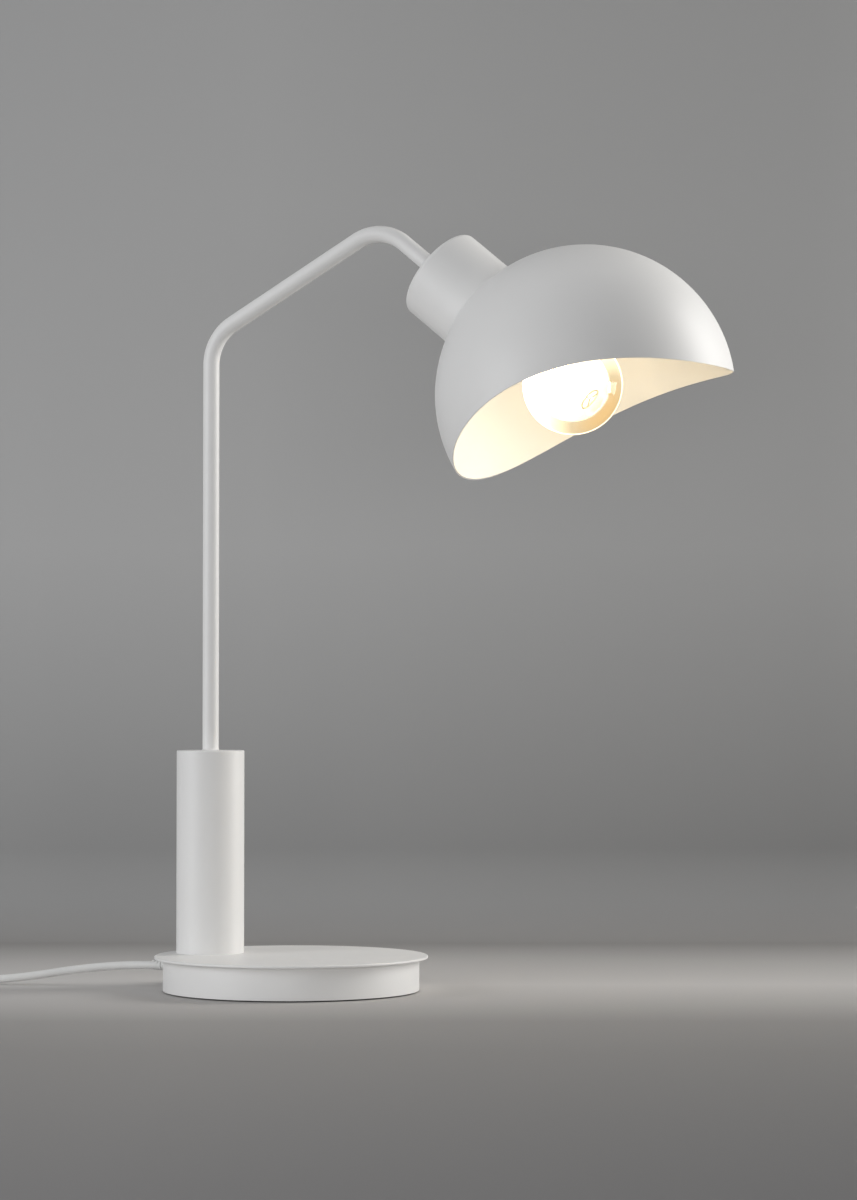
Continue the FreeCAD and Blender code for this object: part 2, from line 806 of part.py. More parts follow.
# ---------------------------------------------------------------- head: lampholder
def make_lampholder():
    rear = holder_rear_z
    front = holder_core_rear
    cap_inner = holder_cap_radius - holder_cap_wall
    boss_end = rear + holder_boss_length
    slope_end = boss_end + holder_cap_slope
    cap = lathe(
        [
            (rod_radius, rear),
            (holder_boss_radius, rear),
            (holder_boss_radius, boss_end),
            (holder_cap_radius, slope_end),
            (holder_cap_radius, front),
            (cap_inner, front),
            (cap_inner, slope_end + holder_cap_wall),
            (holder_boss_radius, boss_end + holder_cap_wall),
            (rod_radius, boss_end + holder_cap_wall),
        ]
    )
    save("holder_cap", on_head(cap))
    body_rear = front - holder_lap
    body_front = body_rear + holder_body_length
    body = lathe(
        [
            (holder_cap_radius, body_rear),
            (holder_body_radius, body_rear),
            (holder_body_radius, body_front),
            (holder_core_radius, body_front),
            (holder_core_radius, front),
            (holder_cap_radius, front),
        ]
    )
    save("holder_body", on_head(body))
    floor_front = holder_floor_z
    core_front = floor_front + thread_shell_depth - thread_shell_lip
    core = lathe(
        [
            (0, front),
            (holder_core_radius, front),
            (holder_core_radius, core_front),
            (thread_shell_radius, core_front),
            (thread_shell_radius, floor_front),
            (0, floor_front),
        ]
    )
    save("holder_core", on_head(core))
    shell_bore = thread_shell_radius - thread_shell_sheet
    shell = lathe(
        [
            (thread_shell_hole_radius, floor_front),
            (thread_shell_radius, floor_front),
            (thread_shell_radius, floor_front + thread_shell_depth),
            (shell_bore, floor_front + thread_shell_depth),
            (shell_bore, floor_front + thread_shell_sheet),
            (thread_shell_hole_radius, floor_front + thread_shell_sheet),
        ]
    )
    save("thread_shell", on_head(shell))
    foot_x = contact_strip_reach
    sheet = contact_strip_sheet
    strip_low = floor_front + thread_shell_sheet + strip_clearance
    strip_top = bulb_foot - contact_gap
    strip = polygon_face(
        [
            (foot_x, -contact_strip_width / 2, floor_front),
            (foot_x, -contact_strip_width / 2, floor_front + sheet),
            (foot_x / 2, -contact_strip_width / 2, strip_low + sheet),
            (0, -contact_strip_width / 2, strip_top),
            (-foot_x / 2, -contact_strip_width / 2, strip_top - sheet),
            (-foot_x / 2, -contact_strip_width / 2, strip_top - 2 * sheet),
            (0, -contact_strip_width / 2, strip_top - sheet),
            (foot_x / 2 - sheet, -contact_strip_width / 2, floor_front),
        ]
    ).extrude(V(0, contact_strip_width, 0))
    save("centre_contact", on_head(strip))
    terminals = []
    for side in (1, -1):
        y = side * terminal_spread
        lump = block(
            (-terminal_side / 2, terminal_side / 2),
            (y - terminal_side / 2, y + terminal_side / 2),
            (front - terminal_side, front),
        )
        head_place = V(terminal_side / 2, y, front - terminal_side / 2)
        head = rod(terminal_screw_radius, terminal_screw_height, head_place, X_AXIS)
        terminals.append(lump.fuse(head).removeSplitter())
    save("holder_terminals", [on_head(t) for t in terminals])


# ---------------------------------------------------------------- bulb
def globe_face(globe, neck, flare, rear):
    """Half section of a globe on a neck, as one face beside the axis."""
    centre = bulb_centre_z
    flare_x = neck + flare
    flare_drop = bulb_flare_drop
    share = globe / (globe + flare)
    meet = V(flare_x * share, 0, centre - flare_drop * share)
    flare_centre = V(flare_x, 0, centre - flare_drop)
    neck_top = V(neck, 0, centre - flare_drop)
    to_neck = (neck_top - flare_centre).normalize()
    to_meet = (meet - flare_centre).normalize()
    flare_middle = flare_centre + (to_neck + to_meet).normalize() * flare
    tip = V(0, 0, centre + globe)
    side = V(globe, 0, centre)
    foot = V(0, 0, rear)
    edges = [
        Part.LineSegment(foot, V(neck, 0, rear)).toShape(),
        Part.LineSegment(V(neck, 0, rear), neck_top).toShape(),
        Part.Arc(neck_top, flare_middle, meet).toShape(),
        Part.Arc(meet, side, tip).toShape(),
        Part.LineSegment(tip, foot).toShape(),
    ]
    return Part.Face(Part.Wire(edges))


def make_bulb():
    glass_rear = cap_rim - glass_lap
    outer = globe_face(bulb_radius, bulb_neck_radius, bulb_flare_radius, glass_rear)
    inner = globe_face(
        bulb_radius - bulb_glass_wall,
        bulb_neck_radius - bulb_glass_wall,
        bulb_flare_radius + bulb_glass_wall,
        glass_rear,
    )
    outer = outer.revolve(ORIGIN, Z_AXIS, 360)
    inner = inner.revolve(ORIGIN, Z_AXIS, 360)
    save("bulb_glass", on_head(outer.cut(inner)))

    shoulder = bulb_foot + cap_contact_height + cap_shoulder
    insulator_rear = bulb_foot + cap_contact_height
    cap = lathe(
        [
            (cap_insulator_radius, insulator_rear),
            (cap_insulator_radius + cap_bevel, insulator_rear),
            (cap_radius, shoulder),
            (cap_radius, cap_rim),
            (cap_bore_radius, cap_rim),
            (cap_bore_radius, shoulder + cap_sheet),
            (cap_insulator_radius, insulator_rear + cap_sheet + cap_lip),
        ]
    )
    save("bulb_cap", on_head(cap))
    insulator = tube(
        cap_insulator_radius, cap_contact_radius, cap_shoulder, V(0, 0, insulator_rear)
    )
    save("bulb_insulator", on_head(insulator))
    contact = rod(cap_contact_radius, cap_contact_height + contact_bed, V(0, 0, bulb_foot))
    tip_edge = [e for e in contact.Edges if e.BoundBox.ZMax < bulb_foot + 1e-6]
    save("bulb_contact", on_head(contact.makeFillet(contact_round, tip_edge)))

    stem_rear = glass_rear
    stem = lathe(
        [
            (0, stem_rear),
            (bulb_neck_radius - bulb_glass_wall, stem_rear),
            (bulb_neck_radius - bulb_glass_wall, stem_rear + stem_flange),
            (stem_radius, stem_rear + stem_flare_length),
            (stem_radius, stem_rear + stem_length),
            (0, stem_rear + stem_length),
        ]
    )
    save("bulb_stem", on_head(stem))

    # Straight filaments stand in a cage between two wire spiders on the stem.
    stem_tip = stem_rear + stem_length
    low = stem_tip - spider_below_stem_tip
    high = bulb_centre_z + filament_reach
    wire_thickness = 2 * support_radius
    spider_low = tube(
        filament_circle + support_radius,
        filament_circle - support_radius,
        wire_thickness,
        V(0, 0, low),
    )
    spider_high = shifted(spider_low, V(0, 0, high - low))
    spoke_low = rod(support_radius, filament_circle, V(0, 0, low + support_radius), X_AXIS)
    spoke_high = shifted(spoke_low, V(0, 0, high - low))
    mast = rod(support_radius, high + support_radius - stem_tip, V(0, 0, stem_tip))
    stem_hole = rod(stem_radius, wire_thickness, V(0, 0, low))
    turns = [spoke_turn, spoke_turn + 90.0]
    spokes_low = [turned(spoke_low, turn).cut(stem_hole) for turn in turns]
    spokes_high = [turned(spoke_high, turn) for turn in turns]
    lower = spider_low.fuse(spokes_low).removeSplitter()
    upper = spider_high.fuse([mast] + spokes_high).removeSplitter()
    save("filament_frame", [on_head(lower), on_head(upper)])
    filament_foot = low + wire_thickness
    filament = rod(filament_radius, high - filament_foot, V(0, 0, filament_foot))
    filaments = around(filament, filament_count, filament_circle)
    save("filaments", [on_head(f) for f in filaments])


def turned(shape, degrees):
    return moved(shape, FreeCAD.Placement(ORIGIN, FreeCAD.Rotation(Z_AXIS, degrees)))


# ---------------------------------------------------------------- coil of put-away cord
def coil_low_z():
    return cord_radius + tie_sheet


def coil_place(turn):
    """A point on the coil and its direction, from 0 to coil_turns: the upper layer spirals
    in, drops to the lower layer in the half turn where the spiral reverses, and spirals out."""
    half = coil_turns / 2
    inner = coil_mean_radius - coil_pitch * (half - 0.25) / 2
    reach = abs(turn - half)
    if reach > 0.25:
        radius = inner + coil_pitch * (reach - 0.25)
        growth = math.copysign(coil_pitch, turn - half)
    else:
        radius = inner + coil_pitch * (2 * reach**2 - 0.125)
        growth = 4 * coil_pitch * (turn - half)
    share = min(max((turn - half + 0.25) / 0.5, 0.0), 1.0)
    drop = coil_pitch * (3 * share**2 - 2 * share**3)
    fall = coil_pitch * 6 * share * (1 - share) / 0.5
    angle = math.radians(coil_start_angle) + 2 * math.pi * turn
    outward = V(math.cos(angle), math.sin(angle), 0)
    along = V(-math.sin(angle), math.cos(angle), 0)
    centre = V(*coil_centre, coil_low_z() + coil_pitch - drop)
    direction = along * (2 * math.pi * radius) + outward * growth - Z_AXIS * fall
    return centre + outward * radius, direction.normalize()


def arc_between(start, corner, finish):
    """The arc that touches both legs of a corner with equal legs."""
    chord_middle = (start + finish) * 0.5
    to_corner = corner - chord_middle
    half_chord = start.distanceToPoint(finish) / 2
    half_turn = math.atan2(to_corner.Length, half_chord)
    sagitta = half_chord * math.tan(half_turn / 2)
    middle = chord_middle + to_corner.normalize() * sagitta
    return Part.Arc(start, middle, finish).toShape()


def biarc(start, start_way, finish, finish_way):
    """Two arcs that join two places smoothly, with one leg length for both."""
    gap = finish - start
    ways = start_way + finish_way
    a = 2 * (start_way.dot(finish_way) - 1)
    b = -2 * gap.dot(ways)
    c = gap.dot(gap)
    leg = -c / b if abs(a) < 1e-9 else (-b - math.sqrt(b * b - 4 * a * c)) / (2 * a)
    first_corner = start + start_way * leg
    last_corner = finish - finish_way * leg
    join = (first_corner + last_corner) * 0.5
    return [arc_between(start, first_corner, join), arc_between(join, last_corner, finish)]


def coil_path():
    count = round(coil_turns * coil_steps_per_turn)
    places = [coil_place(coil_turns * k / count) for k in range(count + 1)]
    edges = []
    for (here, way), (there, next_way) in zip(places, places[1:]):
        edges += biarc(here, way, there, next_way)
    start, start_way = places[0]
    finish, finish_way = places[-1]
    lead_in = start - start_way * (2 * cord_radius)
    run_out = finish + finish_way * (2 * cord_radius)
    edges.insert(0, Part.LineSegment(lead_in, start).toShape())
    edges.append(Part.LineSegment(finish, run_out).toShape())
    return Part.Wire(edges), lead_in, start_way, run_out, finish_way


def least_self_gap(path):
    """The least gap between turns, measured on points along the coil."""
    points = path.discretize(Distance=cord_radius)
    step = path.Length / (len(points) - 1)
    skip = int(4 * cord_radius / step) + 4
    near = min(
        points[i].distanceToPoint(points[j])
        for i in range(len(points))
        for j in range(i + skip, len(points))
    )
    return near - 2 * cord_radius


def make_coil():
    path, lead_in, start_way, run_out, finish_way = coil_path()
    solid = swept(path, cord_radius)
    expected = math.pi * cord_radius**2 * path.Length
    radii = [e.Curve.Radius for e in path.Edges if hasattr(e.Curve, "Radius")]
    print("coil length", round(path.Length, 1), "least radius", round(min(radii), 1))
    print("coil volume over section times length", round(solid.Volume / expected, 4))
    print("coil least gap to itself", round(least_self_gap(path), 2))
    save("cord_coil", solid)

    # The tie is a flat strap once round the bundle, standing across the turns.
    half = coil_turns / 2
    inner = coil_mean_radius - coil_pitch * (half - 0.25) / 2 - coil_pitch / 2
    outer = coil_mean_radius + coil_pitch * (half + 0.75) / 2
    hole_low = tie_sheet
    hole_high = coil_low_z() + coil_pitch + cord_radius + tie_gap
    near = inner - cord_radius - tie_gap
    far = outer + cord_radius + tie_gap
    outside = block(
        (near - tie_sheet, far + tie_sheet),
        (-tie_width / 2, tie_width / 2),
        (0, hole_high + tie_sheet),
    )
    long_edges = [e for e in outside.Edges if e.BoundBox.YLength > tie_width / 2]
    outside = outside.makeFillet(tie_round, long_edges)
    hole = block((near, far), (-tie_width, tie_width), (hole_low, hole_high))
    place = FreeCAD.Placement(V(*coil_centre, 0), FreeCAD.Rotation(Z_AXIS, tie_angle))
    save("cord_tie", moved(outside.cut(hole), place))
    return lead_in, start_way, run_out, finish_way


# ---------------------------------------------------------------- in-line switch
def switch_frame():
    """The switch's own frame: its centre on the table, with +X along the cord."""
    last = vec(lead_points[-1])
    way = (last - vec(lead_points[-2])).normalize()
    centre = last + way * (switch_length / 2)
    angle = math.degrees(math.atan2(way.y, way.x))
    place = FreeCAD.Placement(V(centre.x, centre.y, 0), FreeCAD.Rotation(Z_AXIS, angle))
    return place, last + way * switch_length, way


def rounded_slab(length, width, corner, low, high):
    slab = block((-length / 2, length / 2), (-width / 2, width / 2), (low, high))
    upright = [e for e in slab.Edges if e.BoundBox.ZLength > (high - low) / 2]
    return slab.makeFillet(corner, upright)


def make_switch(place):
    middle = switch_height / 2
    cord_way = rod(cord_radius, switch_length, V(-switch_length / 2, 0, middle), X_AXIS)
    screw_xs = (-switch_screw_spacing / 2, switch_screw_spacing / 2)
    boss_y = switch_width / 2 - switch_wall - switch_boss_radius + switch_boss_sink
    shells = {}
    for name, low, high, outer_z in (
        ("switch_lower_shell", 0.0, middle, 0.0),
        ("switch_upper_shell", middle, switch_height, switch_height),
    ):
        shell = rounded_slab(switch_length, switch_width, switch_corner_radius, low, high)
        outer_edges = [
            e for e in shell.Edges if e.BoundBox.ZLength < 1e-6 and abs(e.BoundBox.ZMin - outer_z) < 1e-6
        ]
        shell = shell.makeFillet(switch_edge_round, outer_edges)
        cavity_low = low if low > 0 else switch_wall
        cavity_high = high if low == 0 else switch_height - switch_wall
        cavity = rounded_slab(
            switch_length - 2 * switch_wall,
            switch_width - 2 * switch_wall,
            switch_corner_radius - switch_wall,
            cavity_low,
            cavity_high,
        )
        shell = shell.cut(cavity)
        for x in screw_xs:
            boss = rod(switch_boss_radius, high - low - switch_wall, V(x, boss_y, cavity_low))
            shell = shell.fuse(boss)
        shells[name] = shell.removeSplitter().cut(cord_way)

    screw_top = switch_height - switch_wall - switch_screw_cover
    shank_foot = switch_screw_sunk + switch_screw_head_height
    switch_screws = []
    for x in screw_xs:
        upright = screw(
            switch_screw_head_radius,
            switch_screw_head_height,
            switch_screw_radius,
            screw_top - shank_foot,
            switch_screw_slot,
        )
        switch_screws.append(shifted(upright, V(x, boss_y, switch_screw_sunk)))
        recess = rod(switch_screw_head_radius, shank_foot, V(x, boss_y, 0))
        hole = rod(switch_screw_radius, screw_top, V(x, boss_y, 0))
        shells["switch_lower_shell"] = shells["switch_lower_shell"].cut(recess).cut(hole)
        shells["switch_upper_shell"] = shells["switch_upper_shell"].cut(hole)

    pivot_z = switch_height - rocker_pivot_drop
    slot_half = rocker_length / 2 + rocker_gap
    slot_y = rocker_width / 2 + rocker_side_gap
    slot_floor = pivot_z - rocker_slot_depth
    slot = block((-slot_half, slot_half), (-slot_y, slot_y), (slot_floor, switch_height))
    upper = shells["switch_upper_shell"].cut(slot)
    for side in (1, -1):
        ys = sorted((side * slot_y, side * (slot_y + lug_thickness)))
        lug_low = pivot_z - lug_half_width
        lug = block((-lug_half_width, lug_half_width), ys, (lug_low, switch_height - switch_wall))
        upper = upper.fuse(lug)
    pin_half = slot_y + lug_thickness
    pin = rod(rocker_pin_radius, 2 * pin_half, V(0, -pin_half, pivot_z), Y_AXIS)
    shells["switch_upper_shell"] = upper.removeSplitter().cut(pin)
    save("rocker_pin", moved(pin, place))
    for name, shell in shells.items():
        save(name, moved(shell, place))
    save("switch_screws", [moved(s, place) for s in switch_screws])

    half = rocker_length / 2
    top = switch_height + rocker_rise
    dip = top - rocker_dip
    low = pivot_z - rocker_depth / 2
    side_view = [
        (-half, -rocker_width / 2, top),
        (0, -rocker_width / 2, dip),
        (half, -rocker_width / 2, top),
        (half - rocker_end_draft, -rocker_width / 2, pivot_z),
        (rocker_foot_half, -rocker_width / 2, low),
        (-rocker_foot_half, -rocker_width / 2, low),
        (-half + rocker_end_draft, -rocker_width / 2, pivot_z),
    ]
    rocker = polygon_face(side_view).extrude(V(0, rocker_width, 0))
    long_edges = [e for e in rocker.Edges if e.BoundBox.YLength > rocker_width / 2]
    corner_edges = [e for e in long_edges if abs(e.BoundBox.ZMin - top) < 1e-6]
    rocker = rocker.makeFillet(rocker_edge_round, corner_edges)
    bore = rod(rocker_pin_radius + slip_fit, rocker_width, V(0, -rocker_width / 2, pivot_z), Y_AXIS)
    pressed = FreeCAD.Placement(
        V(0, 0, 0), FreeCAD.Rotation(Y_AXIS, -rocker_throw / 2), V(0, 0, pivot_z)
    )
    rocker = moved(rocker.cut(bore), pressed)
    save("switch_rocker", moved(rocker, place))

    contacts = []
    for side in (1, -1):
        x = side * (switch_screw_spacing / 2 - switch_boss_radius)
        lump = block(
            (x - contact_block_side / 2, x + contact_block_side / 2),
            (-switch_width / 2 + switch_wall, -switch_width / 2 + switch_wall + contact_block_side),
            (switch_wall, switch_wall + contact_block_side),
        )
        contacts.append(moved(lump, place))
    save("switch_contacts", contacts)
    pivot = place.multVec(V(0, 0, pivot_z))
    axis = place.Rotation.multVec(Y_AXIS)
    print("rocker pivot", [round(c, 4) for c in pivot], "axis", [round(c, 6) for c in axis])


# ---------------------------------------------------------------- plug
def make_plug():
    tip = vec(end_points[-1])
    way = (tip - vec(end_points[-2])).normalize()
    angle = math.degrees(math.atan2(way.y, way.x))
    place = FreeCAD.Placement(tip, FreeCAD.Rotation(Z_AXIS, angle))
    relief = Part.makeCone(plug_relief_tip, plug_relief_radius, plug_relief_length, ORIGIN, X_AXIS)
    start = plug_relief_length - plug_relief_bite
    end = plug_relief_length + plug_length
    low = -plug_thickness / 2
    outline = [
        (start, -plug_rear_width / 2, low),
        (start + plug_shoulder, -plug_face_width / 2, low),
        (end, -plug_face_width / 2, low),
        (end, plug_face_width / 2, low),
        (start + plug_shoulder, plug_face_width / 2, low),
        (start, plug_rear_width / 2, low),
    ]
    body = polygon_face(outline).extrude(V(0, 0, plug_thickness))
    behind_face = end - plug_rim_round / 2
    upright = [e for e in body.Edges if e.BoundBox.ZLength > plug_thickness / 2]
    body = body.makeFillet(plug_edge_round, [e for e in upright if e.BoundBox.XMax < behind_face])
    rims = [e for e in body.Edges if e.BoundBox.ZLength < 1e-6 and e.BoundBox.XMin < behind_face]
    body = body.makeFillet(plug_rim_round, rims)
    pins = []
    for side in (1, -1):
        foot = V(end - pin_embed, side * pin_spacing / 2, 0)
        pin = rod(pin_radius, pin_embed + pin_length, foot, X_AXIS)
        body = body.cut(pin)
        nose = [e for e in pin.Edges if e.BoundBox.XMin > end + pin_length - 1e-6]
        pins.append(moved(pin.makeFillet(pin_nose_round, nose), place))
    save("plug_body", moved(body.fuse(relief).removeSplitter(), place))
    save("plug_pins", pins)
    for side in (1, -1):
        face = place.multVec(V(end, side * pin_spacing / 2, 0))
        print("pin at the plug's face", [round(c, 3) for c in face])
    print("plug axis", [round(c, 6) for c in place.Rotation.multVec(X_AXIS)])


# ---------------------------------------------------------------- free cord
def make_cord():
    save("cord_lead", free_tube("cord_lead", lead_points))
    place, switch_exit, way = switch_frame()
    make_switch(place)
    lead_in, start_way, run_out, finish_way = make_coil()
    print("switch exit", [round(c, 2) for c in switch_exit], "way", [round(c, 3) for c in way])
    print("coil ends", [round(c, 2) for c in lead_in], [round(c, 2) for c in run_out])
    print("coil ways", [round(c, 3) for c in start_way], [round(c, 3) for c in finish_way])
    tail = [tuple(switch_exit)] + tail_bend_points + [tuple(lead_in)]
    save("cord_tail", free_tube("cord_tail", tail))
    save("cord_end", free_tube("cord_end", [tuple(run_out)] + end_points))


# ---------------------------------------------------------------- build
os.makedirs("parts", exist_ok=True)
make_base()
make_base_wiring()
make_post()
make_arm()
make_shade()
make_swivel()
make_lampholder()
make_bulb()
make_cord()
make_plug()
print("shade centre", [round(c, 3) for c in shade_centre])
print("neck rear", [round(c, 3) for c in neck_rear], "axis", [round(c, 6) for c in NECK_AXIS])
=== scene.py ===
import bmesh
import bpy
import math
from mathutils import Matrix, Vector


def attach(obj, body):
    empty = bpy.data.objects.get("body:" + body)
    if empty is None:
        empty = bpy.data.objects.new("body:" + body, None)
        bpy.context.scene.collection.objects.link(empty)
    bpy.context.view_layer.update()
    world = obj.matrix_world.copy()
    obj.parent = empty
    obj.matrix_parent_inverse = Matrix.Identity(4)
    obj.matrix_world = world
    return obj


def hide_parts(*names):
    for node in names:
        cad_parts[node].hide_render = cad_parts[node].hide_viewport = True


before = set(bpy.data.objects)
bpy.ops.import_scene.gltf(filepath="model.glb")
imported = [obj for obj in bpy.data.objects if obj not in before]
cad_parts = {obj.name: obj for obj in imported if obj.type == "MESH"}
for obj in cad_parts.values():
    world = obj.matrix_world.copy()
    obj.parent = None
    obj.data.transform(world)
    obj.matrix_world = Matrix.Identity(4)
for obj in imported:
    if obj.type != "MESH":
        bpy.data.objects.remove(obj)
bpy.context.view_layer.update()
bpy.ops.object.select_all(action="DESELECT")

# ---------------------------------------------------------------- Camera
# The photograph's own view: a long lens, low down and to the right of the lamp's front, tipped
# up a little, so that the base shows as a thin ellipse and the shade is seen from below.
bpy.ops.object.camera_add(
    location=(1.0825, -2.1645, 0.2100),
    rotation=(math.radians(91.796), 0.0, math.radians(24.195)),
)
camera = bpy.context.object
camera.name = "view_camera"
camera.data.lens = 98.95
camera.data.sensor_width = 36.0
bpy.context.scene.camera = camera

# ---------------------------------------------------------------- Strain relief
# A moulded rubber boot where the cord leaves the back of the base. Its collar is snapped into a
# hole in the drum's wall, and the rings cut round its tapered tail let it bend with the cord.
cord_exit = (-0.0936, 0.0, 0.0155)
boot_length = 0.0220
boot_root = 0.0046
boot_tip = 0.0035
boot_grooves = 6
boot_groove_depth = 0.0007


def pick_all():
    """Select the whole of the mesh in hand."""
    bpy.ops.mesh.select_all(action="SELECT")


def smooth_below(sharp):
    """Shade smooth all edges that bend less than an angle in degrees."""
    bpy.ops.object.shade_smooth_by_angle(angle=math.radians(sharp))


def take_up(piece):
    """Select one piece alone and make it the active one."""
    bpy.ops.object.select_all(action="DESELECT")
    piece.select_set(True)
    bpy.context.view_layer.objects.active = piece


def begin_outline(name, x, z):
    """A piece's first vertex, in the plane y = 0, from which its outline is drawn."""
    bpy.ops.object.select_all(action="DESELECT")
    bpy.ops.mesh.primitive_plane_add(size=0.001)
    piece = bpy.context.object
    piece.name = name
    piece.data.name = name
    bpy.ops.object.mode_set(mode="EDIT")
    bpy.ops.mesh.select_mode(type="VERT")
    pick_all()
    bpy.ops.mesh.merge(type="CENTER")
    bpy.ops.transform.translate(value=(x, 0.0, z))
    return piece


def draw(x, z, runs, step=7.5):
    """Draw on from (x, z): a pair is a straight run to that place, and (x, z, degrees) is an
    arc about that centre, counter-clockwise with x to the right and z up."""
    for run in runs:
        if len(run) == 2:
            way = (run[0] - x, 0.0, run[1] - z)
            bpy.ops.mesh.extrude_vertices_move(TRANSFORM_OT_translate={"value": way})
            x, z = run
        else:
            angle = math.radians(run[2])
            arm_x, arm_z = x - run[0], z - run[1]
            by_length = abs(angle) * math.hypot(arm_x, arm_z) / 0.0028
            pieces = max(3, math.ceil(abs(run[2]) / step), math.ceil(by_length))
            bpy.ops.mesh.spin(
                steps=pieces, angle=angle, center=(run[0], 0.0, run[1]), axis=(0.0, 1.0, 0.0)
            )
            x = run[0] + arm_x * math.cos(angle) - arm_z * math.sin(angle)
            z = run[1] + arm_x * math.sin(angle) + arm_z * math.cos(angle)


def turn_up(piece, facets=96, sharp=35.0):
    """Turn the outline once round the upright axis, as on a lathe, and close its seam."""
    pick_all()
    bpy.ops.mesh.spin(
        steps=facets, angle=2 * math.pi, center=(0.0, 0.0, 0.0), axis=(0.0, 0.0, 1.0)
    )
    pick_all()
    bpy.ops.mesh.remove_doubles(threshold=0.000002)
    bpy.ops.mesh.delete_loose(use_verts=True, use_edges=True, use_faces=False)
    pick_all()
    bpy.ops.mesh.normals_make_consistent(inside=False)
    bpy.ops.object.mode_set(mode="OBJECT")
    smooth_below(sharp)


def settle(piece, place, tilt=(0.0, 0.0, 0.0)):
    """Carry a finished mesh to its place, and leave its object at the origin, unturned."""
    take_up(piece)
    piece.location = place
    piece.rotation_euler = tilt
    bpy.ops.object.transform_apply(location=True, rotation=True, scale=True)


def texture_place(tree):
    """Object coordinates, in metres, for a finish that has no grain of its own direction."""
    return tree.nodes.new("ShaderNodeTexCoord").outputs["Object"]


def grain(tree, place, scale, detail=3.0):
    """A soft noise of features about 1 / scale metres across."""
    noise = tree.nodes.new("ShaderNodeTexNoise")
    noise.inputs["Scale"].default_value = scale
    noise.inputs["Detail"].default_value = detail
    noise.inputs["Roughness"].default_value = 0.55
    tree.links.new(place, noise.inputs["Vector"])
    return noise.outputs["Fac"]


def stretch(tree, number, start, stop, low=0.0, high=1.0):
    """Carry a number from the span start to stop over to low to high, held at both ends."""
    spread = tree.nodes.new("ShaderNodeMapRange")
    limits = {"From Min": start, "From Max": stop, "To Min": low, "To Max": high}
    for socket, value in limits.items():
        spread.inputs[socket].default_value = value
    tree.links.new(number, spread.inputs["Value"])
    return spread.outputs["Result"]


def between(tree, factor, low, high):
    """A number that wanders from low to high with the factor."""
    return stretch(tree, factor, 0.3, 0.7, low, high)


def graded(tree, factor, stops):
    """A colour that runs through stops of (position, red, green, blue), lowest first."""
    ramp = tree.nodes.new("ShaderNodeValToRGB")
    marks = ramp.color_ramp.elements
    marks[0].position, marks[1].position = stops[0][0], stops[-1][0]
    for stop in stops[1:-1]:
        marks.new(stop[0])
    for mark, stop in zip(marks, stops):
        mark.color = (*stop[1:], 1.0)
    tree.links.new(factor, ramp.inputs["Fac"])
    return ramp.outputs["Color"]


def tones(tree, factor, dark, light):
    """A colour that wanders between two near tones with the factor."""
    return graded(tree, factor, [(0.3, *dark), (0.7, *light)])


def new_finish(name):
    """An empty node material with its Principled shader."""
    material = bpy.data.materials.new(name)
    material.use_nodes = True
    return material, material.node_tree, material.node_tree.nodes["Principled BSDF"]


def raised(tree, shader, factor, height):
    """Fine relief of a height in metres, from the same pattern as the colour."""
    bump = tree.nodes.new("ShaderNodeBump")
    bump.inputs["Strength"].default_value = 1.0
    bump.inputs["Distance"].default_value = height
    tree.links.new(factor, bump.inputs["Height"])
    tree.links.new(bump.outputs["Normal"], shader.inputs["Normal"])


def moulded(name, dark, light, rough_low, rough_high, scale, relief, breadth=8.0):
    """Moulded or extruded plastic and rubber: an even colour, a slightly uneven skin."""
    material, tree, shader = new_finish(name)
    place = texture_place(tree)
    broad = grain(tree, place, scale / breadth)
    fine = grain(tree, place, scale, 4.0)
    tree.links.new(tones(tree, broad, dark, light), shader.inputs["Base Color"])
    tree.links.new(between(tree, fine, rough_low, rough_high), shader.inputs["Roughness"])
    raised(tree, shader, fine, relief)
    return material


def dress(piece, body, slot, finish, *stands_for):
    """Give a piece its finish, the body that it moves with and the solids it stands for."""
    piece.data.materials.clear()
    piece.data.materials.append(finish)
    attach(piece, body)
    if stands_for:
        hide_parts(*stands_for)


boot = begin_outline("cord_boot", 0.0031, -0.0039)
boot_runs = [(0.0060, -0.0039), (0.0065, -0.0036), (0.0065, -0.0020), (0.0055, -0.0020)]
boot_runs += [(0.0055, 0.0), (0.0060, 0.0), (0.0065, 0.0005), (0.0065, 0.0011)]
boot_runs += [(0.0060, 0.0016), (boot_root, 0.0016)]
for k in range(boot_grooves):
    low = 0.0040 + 0.0028 * k
    outer = boot_root - (boot_root - boot_tip) * low / boot_length
    boot_runs += [
        (outer, low),
        (outer - boot_groove_depth, low + 0.0002),
        (outer - boot_groove_depth, low + 0.0010),
        (outer, low + 0.0012),
    ]
boot_runs += [(boot_tip, 0.0214), (boot_tip - 0.0002, boot_length), (0.0031, boot_length)]
boot_runs += [(0.0031, -0.0039)]
draw(0.0031, -0.0039, boot_runs)
turn_up(boot, 48)
settle(boot, cord_exit, (0.0, math.radians(-90.0), 0.0))
boot_rubber = moulded(
    "boot_rubber", (0.66, 0.66, 0.65), (0.72, 0.72, 0.705), 0.50, 0.64, 420.0, 0.00003
)
dress(boot, "base", "white_plastic", boot_rubber, "cord_gland")

